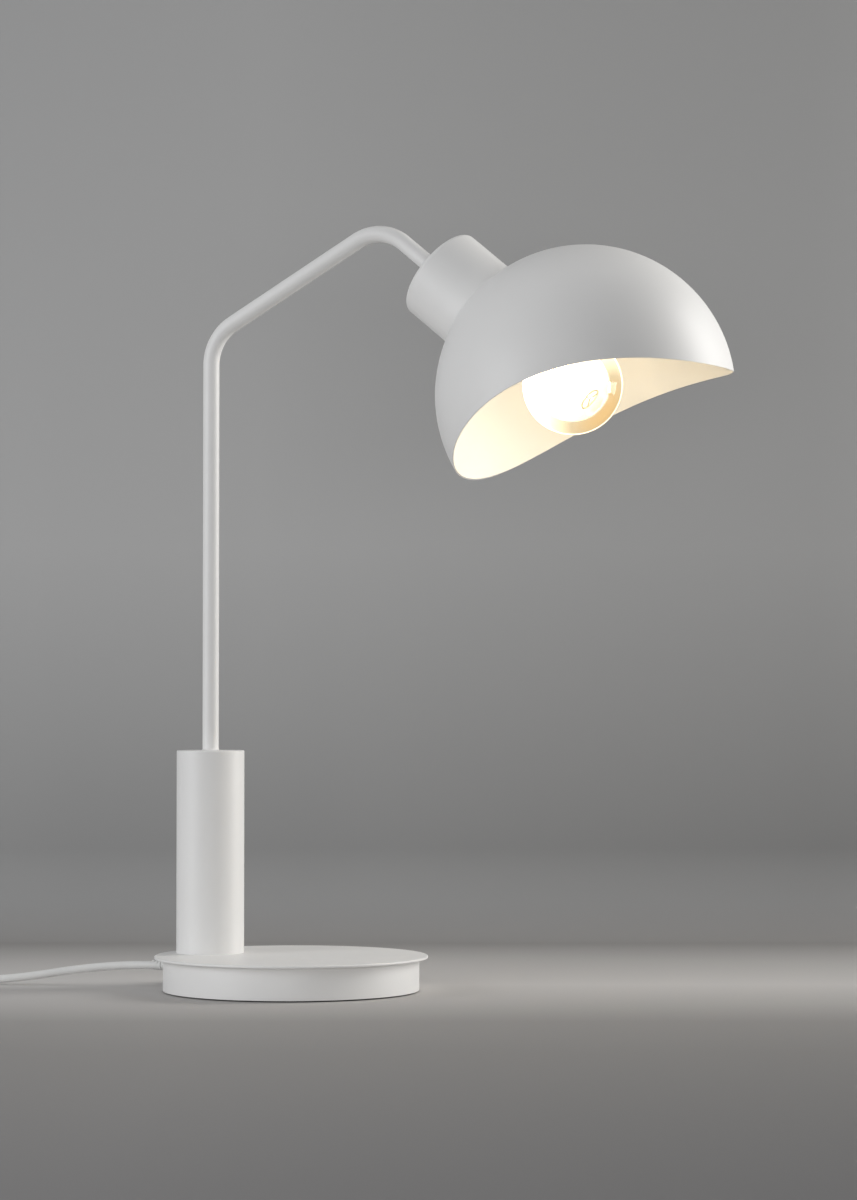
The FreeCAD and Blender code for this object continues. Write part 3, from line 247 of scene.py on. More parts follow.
# ---------------------------------------------------------------- In-line switch
# Two moulded halves screwed together round the cord, with a parting groove between them, and a
# rocker that clicks from side to side on a steel pin. It lies flat on the table.
switch_place = (-0.323692, -0.076538, 0.0)
switch_turn = (0.0, 0.0, math.radians(-157.380))
switch_long = 0.060
switch_wide = 0.025
switch_high = 0.019
switch_parting = 0.0095
parting_groove = 0.00016
rocker_pivot = 0.0155
switch_white = moulded(
    "switch_plastic", (0.72, 0.72, 0.71), (0.78, 0.78, 0.765), 0.28, 0.40, 900.0, 0.000012
)
rocker_white = moulded(
    "rocker_plastic", (0.70, 0.70, 0.69), (0.76, 0.76, 0.745), 0.20, 0.32, 900.0, 0.00001
)


def add_block(name, low, high):
    """A box between two corners, left in edit mode for its edges and faces to be worked."""
    bpy.ops.object.select_all(action="DESELECT")
    bpy.ops.mesh.primitive_cube_add(size=1.0)
    piece = bpy.context.object
    piece.name = name
    piece.data.name = name
    bpy.ops.object.mode_set(mode="EDIT")
    pick_all()
    size = [high[i] - low[i] for i in range(3)]
    middle = [(high[i] + low[i]) / 2 for i in range(3)]
    bpy.ops.transform.resize(value=size, center_override=(0.0, 0.0, 0.0))
    bpy.ops.transform.translate(value=middle)
    return piece


def pick_edges(piece, wanted):
    """Select, in edit mode, the edges whose two ends pass a test of their places."""
    bpy.ops.mesh.select_mode(type="EDGE")
    bpy.ops.mesh.select_all(action="DESELECT")
    mesh = bmesh.from_edit_mesh(piece.data)
    for edge in mesh.edges:
        if wanted(edge.verts[0].co, edge.verts[1].co):
            edge.select_set(True)
    bmesh.update_edit_mesh(piece.data)


def round_over(radius, segments):
    """Round the selected edges over."""
    bpy.ops.mesh.bevel(offset=radius, segments=segments, affect="EDGES")


def finish_mesh(piece, sharp=35.0):
    """Leave edit mode with the faces outwards, and smooth all but the sharp edges."""
    pick_all()
    bpy.ops.mesh.normals_make_consistent(inside=False)
    bpy.ops.object.mode_set(mode="OBJECT")
    smooth_below(sharp)


def cut_out(piece, tool):
    """Cut one mesh out of another, and throw the tool away."""
    take_up(piece)
    cut = piece.modifiers.new("cut", "BOOLEAN")
    cut.operation = "DIFFERENCE"
    cut.solver = "EXACT"
    cut.object = tool
    bpy.ops.object.modifier_apply(modifier="cut")
    bpy.data.objects.remove(tool, do_unlink=True)


def add_bar(radius, low, high, place, facets=32):
    """A plain round bar, upright at a place, to cut a hole with."""
    bpy.ops.object.select_all(action="DESELECT")
    middle = (place[0], place[1], (low + high) / 2)
    bpy.ops.mesh.primitive_cylinder_add(
        vertices=facets, radius=radius, depth=high - low, location=middle
    )
    return bpy.context.object


def switch_half(name, low, high, outer):
    """One half of the housing, rounded where it is seen and eased where the halves meet."""
    half = add_block(
        name, (-switch_long / 2, -switch_wide / 2, low), (switch_long / 2, switch_wide / 2, high)
    )
    pick_edges(half, lambda a, b: abs(a.z - b.z) > 0.001)
    round_over(0.009, 12)
    pick_edges(half, lambda a, b: abs(a.z - outer) + abs(b.z - outer) < 1e-5)
    round_over(0.0022, 6)
    inner = low + high - outer
    pick_edges(half, lambda a, b: abs(a.z - inner) + abs(b.z - inner) < 1e-5)
    round_over(0.0003, 2)
    finish_mesh(half, 30.0)
    return half


lower_half = switch_half("switch_lower_half", 0.0, switch_parting - parting_groove, 0.0)
for side in (-1, 1):
    cut_out(lower_half, add_bar(0.00225, -0.001, 0.0016, (side * 0.021, 0.0085)))
upper_half = switch_half(
    "switch_upper_half", switch_parting + parting_groove, switch_high, switch_high
)
rocker_slot = add_block("rocker_slot", (-0.0104, -0.0053, 0.0105), (0.0104, 0.0053, 0.0200))
bpy.ops.object.mode_set(mode="OBJECT")
cut_out(upper_half, rocker_slot)
for half, node in ((lower_half, "switch_lower_shell"), (upper_half, "switch_upper_shell")):
    settle(half, switch_place, switch_turn)
    smooth_below(30.0)
    dress(half, "base", "white_plastic", switch_white, node)

rocker = begin_outline("switch_rocker_key", -0.0095, 0.0210)
rocker_side = [(0.0, 0.050333, 35.90), (0.0085, rocker_pivot), (0.0030, 0.0125)]
rocker_side += [(-0.0030, 0.0125), (-0.0085, rocker_pivot), (-0.0095, 0.0210)]
draw(-0.0095, 0.0210, rocker_side, 2.5)


def make_slab(piece, width, filled=True):
    """Give a closed outline its width, centred on the plane y = 0, with or without ends."""
    pick_all()
    bpy.ops.mesh.remove_doubles(threshold=0.00002)
    if filled:
        bpy.ops.mesh.edge_face_add()
    bpy.ops.mesh.extrude_region_move(TRANSFORM_OT_translate={"value": (0.0, width, 0.0)})
    pick_all()
    bpy.ops.transform.translate(value=(0.0, -width / 2, 0.0))
    bpy.ops.mesh.normals_make_consistent(inside=False)


make_slab(rocker, 0.010)
pick_edges(rocker, lambda a, b: min(a.z, b.z) > 0.019 and abs(a.y - b.y) < 1e-5)
round_over(0.0004, 3)
finish_mesh(rocker, 40.0)
settle(rocker, (0.0, 0.0, -rocker_pivot))
settle(rocker, (0.0, 0.0, rocker_pivot), (0.0, math.radians(-8.0), 0.0))
settle(rocker, switch_place, switch_turn)
dress(rocker, "rocker", "white_plastic", rocker_white, "switch_rocker")

# ---------------------------------------------------------------- Mains cord, base to switch
# Round two-core cord with a white PVC sheath, 6 mm thick. It leaves the drum's back low down,
# drops to the table a hand's width away and runs on to the in-line switch.
cord_thickness = 0.006
lead_route = [
    (-0.0900, 0.0000, 0.0155),
    (-0.1280, 0.0000, 0.0155),
    (-0.1680, -0.0165, 0.0122),
    (-0.2040, -0.0310, 0.0059),
    (-0.2340, -0.0420, 0.0030),
    (-0.2620, -0.0510, 0.0030),
    (-0.2840, -0.0600, 0.0095),
    (-0.2960, -0.0650, 0.0095),
]


def lay_cord(name, route, sheath):
    """The cord's centre line as one smooth spline with the route as its control points."""
    line = bpy.data.curves.new(name, "CURVE")
    line.dimensions = "3D"
    spline = line.splines.new("NURBS")
    spline.points.add(len(route) - 1)
    for point, place in zip(spline.points, route):
        point.co = (*place, 1.0)
    spline.order_u = 3
    spline.use_endpoint_u = True
    spline.resolution_u = 8
    spline.use_smooth = True
    line.bevel_depth = cord_thickness / 2
    line.bevel_resolution = 5
    line.use_fill_caps = True
    line.materials.append(sheath)
    cord = bpy.data.objects.new(name, line)
    bpy.context.scene.collection.objects.link(cord)
    return cord


sheath_white = moulded(
    "sheath_white", (0.70, 0.70, 0.69), (0.76, 0.76, 0.745), 0.36, 0.50, 320.0, 0.00003
)
lead = lay_cord("mains_cord_lead", lead_route, sheath_white)
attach(lead, "base")
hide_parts("cord_lead")

# ---------------------------------------------------------------- Strap round the coil
# A flat strap of soft plastic, once round all the turns of the put-away cord, so that the coil
# keeps its shape. It stands across the turns and lies on the table with them.
strap_low = 0.0207125
strap_high = 0.0512875
strap_top = 0.0145
strap_round = 0.0016
strap_wide = 0.012
tie_sheet = 0.0008
strap = begin_outline("coil_strap", strap_low, 0.0)
strap_outline = [
    (strap_high, 0.0),
    (strap_high, strap_round, 90.0),
    (strap_high + strap_round, strap_top - strap_round),
    (strap_high, strap_top - strap_round, 90.0),
    (strap_low, strap_top),
    (strap_low, strap_top - strap_round, 90.0),
    (strap_low - strap_round, strap_round),
    (strap_low, strap_round, 90.0),
]
draw(strap_low, 0.0, strap_outline, 15.0)
make_slab(strap, strap_wide, filled=False)
bpy.ops.object.mode_set(mode="OBJECT")


def thicken(piece, thickness):
    """Give a sheet its thickness, inwards from its outer face."""
    skin = piece.modifiers.new("skin", "SOLIDIFY")
    skin.thickness = thickness
    skin.offset = -1.0
    bpy.ops.object.modifier_apply(modifier="skin")


thicken(strap, tie_sheet)
ease = strap.modifiers.new("ease", "BEVEL")
ease.width = 0.00018
ease.segments = 2
ease.limit_method = "ANGLE"
ease.angle_limit = math.radians(60.0)
bpy.ops.object.modifier_apply(modifier="ease")
smooth_below(40.0)
settle(strap, (-0.3406, -0.1485, 0.0), (0.0, 0.0, math.radians(45.0)))
strap_plastic = moulded(
    "strap_plastic", (0.60, 0.60, 0.585), (0.70, 0.70, 0.685), 0.55, 0.72, 1500.0, 0.00006
)
dress(strap, "base", "white_plastic", strap_plastic, "cord_tie")

# ---------------------------------------------------------------- Plug
# A flat moulded plug with two round pins, cast round the cord's end. Its sides slope out from a
# short ringed boot, and low ribs across both broad faces give the fingers a grip.
plug_tip = (-0.2735, -0.1810, 0.0072)
plug_turn = (0.0, 0.0, math.radians(17.7447))
plug_half = 0.0072
plug = begin_outline("plug_housing", 0.015, -0.007)
plug_outline = [(0.029, -0.01765), (0.052, -0.01765), (0.052, 0.01765), (0.029, 0.01765)]
plug_outline += [(0.015, 0.007), (0.015, -0.007)]


def pick_faces(piece, wanted):
    """Select, in edit mode, the faces whose middle and normal pass a test."""
    bpy.ops.mesh.select_mode(type="FACE")
    bpy.ops.mesh.select_all(action="DESELECT")
    mesh = bmesh.from_edit_mesh(piece.data)
    for face in mesh.faces:
        if wanted(face.calc_center_median(), face.normal):
            face.select_set(True)
    bmesh.update_edit_mesh(piece.data)


draw(0.015, -0.007, plug_outline)
make_slab(plug, 2 * plug_half)
pick_edges(plug, lambda a, b: abs(a.y - b.y) > 0.010 and a.x < 0.051)
round_over(0.0025, 6)
pick_edges(plug, lambda a, b: abs(a.y - b.y) < 1e-5 and min(a.x, b.x) < 0.0515)
round_over(0.0016, 5)
pick_edges(plug, lambda a, b: min(a.x, b.x) > 0.05199)
round_over(0.0003, 2)
pick_faces(plug, lambda middle, normal: abs(middle.y) > plug_half - 0.00001)
bpy.ops.mesh.inset(thickness=0.0022, depth=-0.0006, use_individual=True)
finish_mesh(plug, 32.0)
settle(plug, (0.0, 0.0, 0.0), (math.radians(90.0), 0.0, 0.0))

plug_boot = begin_outline("plug_boot", 0.0, 0.0)
plug_boot_runs = [(0.0034, 0.0)]
for k in range(4):
    low = 0.0022 + 0.0032 * k
    outer = 0.0034 + 0.0012 * low / 0.016
    plug_boot_runs += [(outer, low), (outer - 0.0005, low + 0.0003)]
    plug_boot_runs += [(outer - 0.0005, low + 0.0012), (outer + 0.0001, low + 0.0015)]
plug_boot_runs += [(0.0046, 0.0158), (0.0, 0.0158)]
draw(0.0, 0.0, plug_boot_runs)
turn_up(plug_boot, 40)
settle(plug_boot, (0.0, 0.0, 0.0), (0.0, math.radians(90.0), 0.0))
plug_pieces = [plug, plug_boot]
for side in (-1, 1):
    for k in range(6):
        rib_x = 0.0300 + 0.0032 * k
        rib = add_block(
            "grip_rib",
            (rib_x, -0.0110, min(side * 0.0066, side * 0.0071)),
            (rib_x + 0.0014, 0.0110, max(side * 0.0066, side * 0.0071)),
        )
        finish_mesh(rib)
        plug_pieces.append(rib)


def join_up(pieces):
    """Make several meshes one piece, under the first one's name."""
    bpy.ops.object.select_all(action="DESELECT")
    for piece in pieces:
        piece.select_set(True)
    bpy.context.view_layer.objects.active = pieces[0]
    bpy.ops.object.join()
    return pieces[0]


plug = join_up(plug_pieces)
settle(plug, plug_tip, plug_turn)
plug_white = moulded(
    "plug_plastic", (0.70, 0.70, 0.69), (0.76, 0.76, 0.745), 0.34, 0.46, 700.0, 0.00002
)
dress(plug, "base", "white_plastic", plug_white, "plug_body")

# ---------------------------------------------------------------- Plug pins
# Two turned pins, 4 mm thick and 18.6 mm apart, with rounded noses, moulded into the plug.
pin_thickness = 0.004
pin_reach = 0.019
pin_pieces = []
for side in (-1, 1):
    pin = begin_outline("turned_pins", 0.0, -0.006)
    nose = 0.0012
    pin_outline = [
        (0.00195, -0.006),
        (0.00195, 0.0100),
        (pin_thickness / 2, 0.0102),
        (pin_thickness / 2, pin_reach - nose),
        (pin_thickness / 2 - nose, pin_reach - nose, 90.0),
        (0.0, pin_reach),
    ]
    draw(0.0, -0.006, pin_outline, 15.0)
    turn_up(pin, 32)
    settle(pin, (0.052, side * 0.0093, 0.0), (0.0, math.radians(90.0), 0.0))
    pin_pieces.append(pin)
pins = join_up(pin_pieces)
settle(pins, plug_tip, plug_turn)


def metal(name, dark, light, rough_low, rough_high, scale=500.0):
    """Plated or turned metal: fine marks from the tool and a slightly clouded lustre."""
    material = moulded(name, dark, light, rough_low, rough_high, scale, 0.000006, 10.0)
    shader = material.node_tree.nodes["Principled BSDF"]
    shader.inputs["Metallic"].default_value = 1.0
    return material


nickel = metal("nickel_plating", (0.62, 0.61, 0.58), (0.72, 0.71, 0.68), 0.20, 0.34)
dress(pins, "base", "nickel_cap", nickel, "plug_pins")

# ---------------------------------------------------------------- Mains cord, switch to plug
# The rest of the 1.8 m cord: it leaves the switch, goes round in a neat coil of two layers,
# the upper one winding in and the lower one out again, and ends in the plug.
coil_middle = (-0.3406, -0.1485)
coil_mean_radius = 0.0360
coil_pitch = 0.0066
coil_turns = 6.25
points_per_turn = 16
coil_route = []
for k in range(int(coil_turns * points_per_turn) + 1):
    turn = k / points_per_turn
    reach = turn - coil_turns / 2
    inner = coil_mean_radius - coil_pitch * (coil_turns / 2 - 0.25) / 2
    if abs(reach) > 0.25:
        radius = inner + coil_pitch * (abs(reach) - 0.25)
    else:
        radius = inner + coil_pitch * (2 * reach**2 - 0.125)
    share = min(max((reach + 0.25) / 0.5, 0.0), 1.0)
    height = cord_thickness / 2 + tie_sheet + coil_pitch * (1 - 3 * share**2 + 2 * share**3)
    outside = radius / math.cos(math.pi / points_per_turn)
    angle = math.pi + 2 * math.pi * turn
    coil_route.append(
        (
            coil_middle[0] + outside * math.cos(angle),
            coil_middle[1] + outside * math.sin(angle),
            height,
        )
    )
tail_route = [
    (-0.35138, -0.08808, 0.0095),
    (-0.36450, -0.09350, 0.0093),
    (-0.37850, -0.10650, 0.0090),
    (-0.38670, -0.12400, 0.0104),
]
end_route = [
    (-0.3200, -0.1945, 0.0038),
    (-0.3025, -0.1910, 0.0046),
    (-0.2860, -0.1850, 0.0072),
    (-0.2735, -0.1810, 0.0072),
]
coiled = lay_cord("mains_cord_coiled", tail_route + coil_route + end_route, sheath_white)
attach(coiled, "base")
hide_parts("cord_tail", "cord_coil", "cord_end")

# ---------------------------------------------------------------- Base plate
# The round top plate of the base: 2 mm steel, 200 mm across, its edge rounded over and the whole
# of it powder coated a warm white. The post is drawn down on to it by the tie rod.
plate_radius = 0.100
plate_low = 0.024
plate_high = 0.026
plate_round = 0.0008


def powder_coat(name, dark=(0.79, 0.785, 0.775), light=(0.81, 0.805, 0.795)):
    """Baked powder paint: even in colour, satin, with the finest orange-peel in its skin."""
    material, tree, shader = new_finish(name)
    place = texture_place(tree)
    clouds = grain(tree, place, 14.0)
    skin = grain(tree, place, 900.0, 2.0)
    tree.links.new(tones(tree, clouds, dark, light), shader.inputs["Base Color"])
    tree.links.new(between(tree, skin, 0.42, 0.52), shader.inputs["Roughness"])
    raised(tree, shader, skin, 0.000010)
    return material


base_paint = powder_coat("powder_coat_base")
plate = begin_outline("base_top_plate", 0.0, plate_low)
plate_outline = [
    (plate_radius - plate_round, plate_low),
    (plate_radius - plate_round, plate_low + plate_round, 90.0),
    (plate_radius, plate_high - plate_round),
    (plate_radius - plate_round, plate_high - plate_round, 90.0),
    (0.060, plate_high),
    (0.0, plate_high),
]
draw(0.0, plate_low, plate_outline, 12.0)
turn_up(plate, 192)
dress(plate, "base", "white_paint", base_paint, "base_plate")

# ---------------------------------------------------------------- Base drum
# A low drum of 1.5 mm sheet under the plate, set in from its edge, with a flange turned inwards
# at the top. It stops just short of the table, so a thin dark line shows below it.
drum_radius = 0.0936
drum_inner = 0.0921
drum_foot = 0.0008
drum_hem = 0.0004
drum = begin_outline("base_drum_wall", drum_inner, drum_foot)
drum_outline = [
    (drum_radius - drum_hem, drum_foot),
    (drum_radius - drum_hem, drum_foot + drum_hem, 90.0),
    (drum_radius, plate_low - 0.0012),
    (drum_radius - 0.0012, plate_low - 0.0012, 90.0),
    (0.0841, plate_low),
    (0.0841, plate_low - 0.0015),
    (drum_inner, plate_low - 0.0015),
    (drum_inner, drum_foot),
]
draw(drum_inner, drum_foot, drum_outline, 15.0)
turn_up(drum, 192)
dress(drum, "base", "white_paint", base_paint, "base_drum")

# ---------------------------------------------------------------- Post
# A thick tube of 2 mm steel that stands on the plate behind its centre. Its top is closed but
# for the hole that the arm slides through, where the paint has filled the corner.
post_x = -0.067
post_radius = 0.025
post_foot = 0.026
post_top = 0.1753
post_round = 0.0009
arm_radius = 0.006
post = begin_outline("post_tube", 0.0230, post_foot)
post_outline = [
    (post_radius, post_foot),
    (post_radius, post_top - post_round),
    (post_radius - post_round, post_top - post_round, 90.0),
    (arm_radius + 0.0013, post_top),
    (arm_radius + 0.0013, post_top + 0.0011, -75.0),
    (arm_radius + 0.00006, post_top + 0.0011),
    (arm_radius + 0.00006, post_top - 0.002),
    (0.0230, post_top - 0.002),
    (0.0230, post_foot),
]
draw(0.0230, post_foot, post_outline)
turn_up(post, 128)
settle(post, (post_x, 0.0, 0.0))
post_paint = powder_coat("powder_coat_post")
dress(post, "base", "white_paint", post_paint, "post_sleeve")

# ---------------------------------------------------------------- Arm
# One 12 mm tube, bent twice round a 34 mm former: up out of the post, forward over the base at a
# slope, and down to the neck of the shade. The wires run inside it.
arm_foot = 0.032
arm_bend = 0.034
arm_rise = 61.28
arm_fall = 68.22
arm_wall = 0.001
lower_corner = Vector((post_x, 0.0, 0.4814))
upper_corner = Vector((0.0728, 0.0, 0.5580))
neck_axis = Vector((0.771625, 0.0, -0.636078))
arm_end = Vector((0.117786, 0.0, 0.520917)) - 0.0005 * neck_axis
slope = (upper_corner - lower_corner).normalized()
lower_reach = arm_bend * math.tan(math.radians(arm_rise / 2))
upper_reach = arm_bend * math.tan(math.radians(arm_fall / 2))
lower_start = lower_corner - Vector((0.0, 0.0, lower_reach))
upper_start = upper_corner - upper_reach * slope
upper_stop = upper_corner + upper_reach * neck_axis
lower_former = lower_start + Vector((arm_bend, 0.0, 0.0))
upper_former = upper_start + arm_bend * Vector((slope.z, 0.0, -slope.x))
bpy.ops.object.select_all(action="DESELECT")
bpy.ops.mesh.primitive_circle_add(vertices=48, radius=arm_radius, location=(post_x, 0.0, arm_foot))
arm = bpy.context.object
arm.name = "arm_bent_tube"
arm.data.name = "arm_bent_tube"
bpy.ops.object.transform_apply(location=True, rotation=True, scale=True)
bpy.ops.object.mode_set(mode="EDIT")
bpy.ops.mesh.select_mode(type="EDGE")
pick_all()
rise = (0.0, 0.0, lower_start.z - arm_foot)
bpy.ops.mesh.extrude_region_move(TRANSFORM_OT_translate={"value": rise})
bpy.ops.mesh.spin(
    steps=26, angle=math.radians(-arm_rise), center=lower_former, axis=(0.0, 1.0, 0.0)
)
run = upper_start - (lower_corner + lower_reach * slope)
bpy.ops.mesh.extrude_region_move(TRANSFORM_OT_translate={"value": run})
bpy.ops.mesh.spin(
    steps=30, angle=math.radians(-arm_fall), center=upper_former, axis=(0.0, 1.0, 0.0)
)
bpy.ops.mesh.extrude_region_move(TRANSFORM_OT_translate={"value": arm_end - upper_stop})
pick_all()
bpy.ops.mesh.remove_doubles(threshold=0.000002)
bpy.ops.mesh.normals_make_consistent(inside=False)
bpy.ops.object.mode_set(mode="OBJECT")
thicken(arm, arm_wall)
smooth_below(40.0)
arm_paint = powder_coat("powder_coat_arm")
dress(arm, "base", "white_paint", arm_paint, "arm_tube")

# ---------------------------------------------------------------- Neck
# A deep spun cup behind the shade, 70 mm across, that hides the lampholder. Its rear edge is
# rounded, its mouth is flared on to the dome, and the arm's end carries it by a swivel.
head_place = (0.231137, 0.0, 0.427477)
head_tilt = (0.0, math.radians(129.5), 0.0)
neck_radius = 0.0348
neck_inner = 0.0336
neck_rear = -0.1469
neck_corner = 0.0040
dome_radius = 0.106
flare = 0.0030
flare_x = neck_radius + flare
flare_z = -math.sqrt((dome_radius + flare) ** 2 - flare_x**2)
flare_turn = 90.0 - math.degrees(math.atan2(flare_x, -flare_z))
neck = begin_outline("neck_cup_shell", 0.00506, neck_rear)
neck_outline = [
    (neck_radius - neck_corner, neck_rear),
    (neck_radius - neck_corner, neck_rear + neck_corner, 90.0),
    (neck_radius, -0.120),
    (neck_radius, flare_z),
    (flare_x, flare_z, -flare_turn),
    (neck_inner, -math.sqrt(dome_radius**2 - neck_inner**2)),
    (neck_inner, neck_rear + neck_corner),
    (neck_radius - neck_corner, neck_rear + neck_corner, -90.0),
    (0.00506, neck_rear + 0.0012),
    (0.00506, neck_rear),
]
draw(0.00506, neck_rear, neck_outline, 6.0)
turn_up(neck, 160)
settle(neck, head_place, head_tilt)
shade_paint = powder_coat("powder_coat_shade")
dress(neck, "shade", "white_paint", shade_paint, "neck_cup")

# ---------------------------------------------------------------- Dome
# The shade: a spun dome of 1 mm sheet, 212 mm across, with a hole for the neck at its pole. The
# opening is cut away along a cylinder that lies across the lamp, which gives the sweeping rim.
dome_wall = 0.001
dome_inner = dome_radius - dome_wall
rim_radius = 0.227
rim_forward = 0.078
rim_below = 0.2106
pole_turn = math.degrees(math.asin(neck_inner / dome_radius))
pole_turn_inner = math.degrees(math.asin(neck_inner / dome_inner))
dome_front = 60.0
dome_sweep = 90.0 - pole_turn + dome_front
dome_sweep_inner = 90.0 - pole_turn_inner + dome_front
outer_start = (neck_inner, -math.sqrt(dome_radius**2 - neck_inner**2))
front = (math.cos(math.radians(dome_front)), math.sin(math.radians(dome_front)))
dome = begin_outline("shade_dome_shell", *outer_start)
dome_outline = [
    (0.0, 0.0, dome_sweep),
    (dome_inner * front[0], dome_inner * front[1]),
    (0.0, 0.0, -dome_sweep_inner),
    outer_start,
]
draw(*outer_start, dome_outline, 1.5)
turn_up(dome, 224)
settle(dome, head_place, head_tilt)
bpy.ops.object.select_all(action="DESELECT")
bpy.ops.mesh.primitive_cylinder_add(
    vertices=1200,
    radius=rim_radius,
    depth=0.4,
    location=(head_place[0] + rim_forward, 0.0, head_place[2] - rim_below),
    rotation=(math.radians(90.0), 0.0, 0.0),
)
cut_out(dome, bpy.context.object)
bpy.ops.object.mode_set(mode="EDIT")
pick_all()
bpy.ops.mesh.remove_doubles(threshold=0.00004)
bpy.ops.mesh.delete_loose(use_verts=True, use_edges=True, use_faces=False)
finish_mesh(dome, 40.0)
dress(dome, "shade", "white_paint", shade_paint, "shade_dome")

# ---------------------------------------------------------------- Joining ring
# A pressed ring inside the head: its collar is pressed into the neck's mouth and its flange lies
# on the inside of the dome, which holds the two together.
ring = begin_outline("joining_ring_pressing", 0.0324, -0.11013)
ring_outer = 0.0421
ring_sphere = 0.1038


def rim_height(radius, sphere):
    return -math.sqrt(sphere**2 - radius**2)


def fall_angle(radius, sphere):
    return math.degrees(math.asin(radius / sphere))


ring_outline = [
    (neck_inner, -0.11013),
    (neck_inner, rim_height(neck_inner, dome_inner)),
    (0.0, 0.0, fall_angle(ring_outer, dome_inner) - fall_angle(neck_inner, dome_inner)),
    (ring_outer, rim_height(ring_outer, ring_sphere)),
    (0.0, 0.0, fall_angle(0.0324, ring_sphere) - fall_angle(ring_outer, ring_sphere)),
    (0.0324, -0.11013),
]
draw(0.0324, -0.11013, ring_outline, 2.0)
turn_up(ring, 128)
settle(ring, head_place, head_tilt)
ring_paint = powder_coat("powder_coat_ring", (0.78, 0.775, 0.765), (0.80, 0.795, 0.785))
dress(ring, "shade", "zinc_steel", ring_paint, "joining_ring")

# ---------------------------------------------------------------- Lampholder
# The white moulded lampholder that the bulb screws into: a cap with a boss on the hollow rod, and
# a body with a thread outside for a shade ring. A ceramic core inside carries the brass shell.
holder_cap = begin_outline("lampholder_cap", 0.00505, -0.1139)
cap_outline = [
    (0.0074, -0.1139),
    (0.0080, -0.1133),
    (0.0080, -0.1079),
    (0.0190, -0.1045),
    (0.0190, -0.1035, 73.0),
    (0.0200, -0.1000),
    (0.0200, -0.0959),
    (0.0175, -0.0959),
    (0.0175, -0.1014),
    (0.0080, -0.1054),
    (0.00505, -0.1054),
    (0.00505, -0.1139),
]
draw(0.00505, -0.1139, cap_outline)
turn_up(holder_cap, 96)
settle(holder_cap, head_place, head_tilt)
holder_plastic = moulded(
    "holder_plastic", (0.70, 0.70, 0.685), (0.76, 0.76, 0.74), 0.30, 0.42, 600.0, 0.00002
)
dress(holder_cap, "base", "white_plastic", holder_plastic, "holder_cap")

holder_body = begin_outline("lampholder_body", 0.0201, -0.0999)
body_outline = [(0.0206, -0.0999), (0.0210, -0.0995), (0.0210, -0.0880)]
for k in range(8):
    low = -0.0870 + 0.0036 * k
    body_outline += [
        (0.0210, low),
        (0.0203, low + 0.0008),
        (0.0203, low + 0.0014),
        (0.0210, low + 0.0022),
    ]
body_outline += [
    (0.0210, -0.0565),
    (0.0204, -0.0559),
    (0.0174, -0.0559),
    (0.0168, -0.0565),
    (0.0168, -0.0958),
    (0.0201, -0.0958),
    (0.0201, -0.0999),
]
draw(0.0201, -0.0999, body_outline)
turn_up(holder_body, 96, 25.0)
settle(holder_body, head_place, head_tilt)
dress(holder_body, "base", "white_plastic", holder_plastic, "holder_body")


def wind_thread(name, crest, root, pitch, turns, foot, inner):
    """A sheet-metal screw thread: one wave of the thread, wound up with its pitch."""
    thread = begin_outline(name, root, foot)
    steps = 10
    wave = []
    for k in range(1, steps + 1):
        share = 0.5 - 0.5 * math.cos(2 * math.pi * k / steps)
        wave.append((root + (crest - root) * share, foot + pitch * k / steps))
    draw(root, foot, wave)
    bpy.ops.object.mode_set(mode="OBJECT")
    wind = thread.modifiers.new("wind", "SCREW")
    wind.axis = "Z"
    wind.angle = 2 * math.pi
    wind.screw_offset = pitch
    wind.iterations = turns
    wind.steps = 48
    wind.render_steps = 48
    wind.use_merge_vertices = True
    wind.merge_threshold = 0.00001
    bpy.ops.object.modifier_apply(modifier="wind")
    bpy.ops.object.mode_set(mode="EDIT")
    pick_all()
    bpy.ops.mesh.remove_doubles(threshold=0.00001)
    bpy.ops.mesh.normals_make_consistent(inside=inner)
    bpy.ops.object.mode_set(mode="OBJECT")
    thicken(thread, 0.0002)
    smooth_below(50.0)
    return thread


shell_band = begin_outline("holder_thread", 0.0095, -0.0879)
shell_outline = [(0.0138, -0.0879), (0.0138, -0.0589), (0.0136, -0.0589), (0.0136, -0.0877)]
draw(0.0095, -0.0879, shell_outline + [(0.0095, -0.0877), (0.0095, -0.0879)])
turn_up(shell_band, 64)
shell_thread = wind_thread("holder_thread_wave", 0.01385, 0.01352, 0.0036, 7, -0.0862, True)
shell = join_up([shell_band, shell_thread])
settle(shell, head_place, head_tilt)
brass = metal("brass_sheet", (0.68, 0.50, 0.24), (0.78, 0.60, 0.32), 0.22, 0.38)
dress(shell, "base", "brass", brass, "thread_shell")

# ---------------------------------------------------------------- Bulb
# A clear globe bulb, 71 mm across, in a 27 mm screw cap. Straight filaments stand in a cage on a
# glass stem; lit, they fill the rear of the globe with a white glare that thins to amber.
globe_radius = 0.0355
globe_wall = 0.0009
globe_z = -0.011997
glass_neck = 0.0127
glass_flare = 0.0100
flare_drop = 0.039433
glass_rear = -0.0655
flare_centre = (glass_neck + glass_flare, globe_z - flare_drop)
flare_angle = math.degrees(math.atan2(flare_drop, glass_neck + glass_flare))
globe_sweep = flare_angle + 90.0
glass_inner = glass_neck - globe_wall
globe = begin_outline("bulb_globe", glass_inner, glass_rear)
globe_outline = [
    (glass_neck, glass_rear),
    (glass_neck, flare_centre[1]),
    (*flare_centre, -flare_angle),
    (0.0, globe_z, globe_sweep),
    (0.0, globe_z + globe_radius - globe_wall),
    (0.0, globe_z, -globe_sweep),
    (*flare_centre, flare_angle),
    (glass_inner, glass_rear),
]
draw(glass_inner, glass_rear, globe_outline, 3.0)
turn_up(globe, 128, 50.0)
settle(globe, head_place, head_tilt)


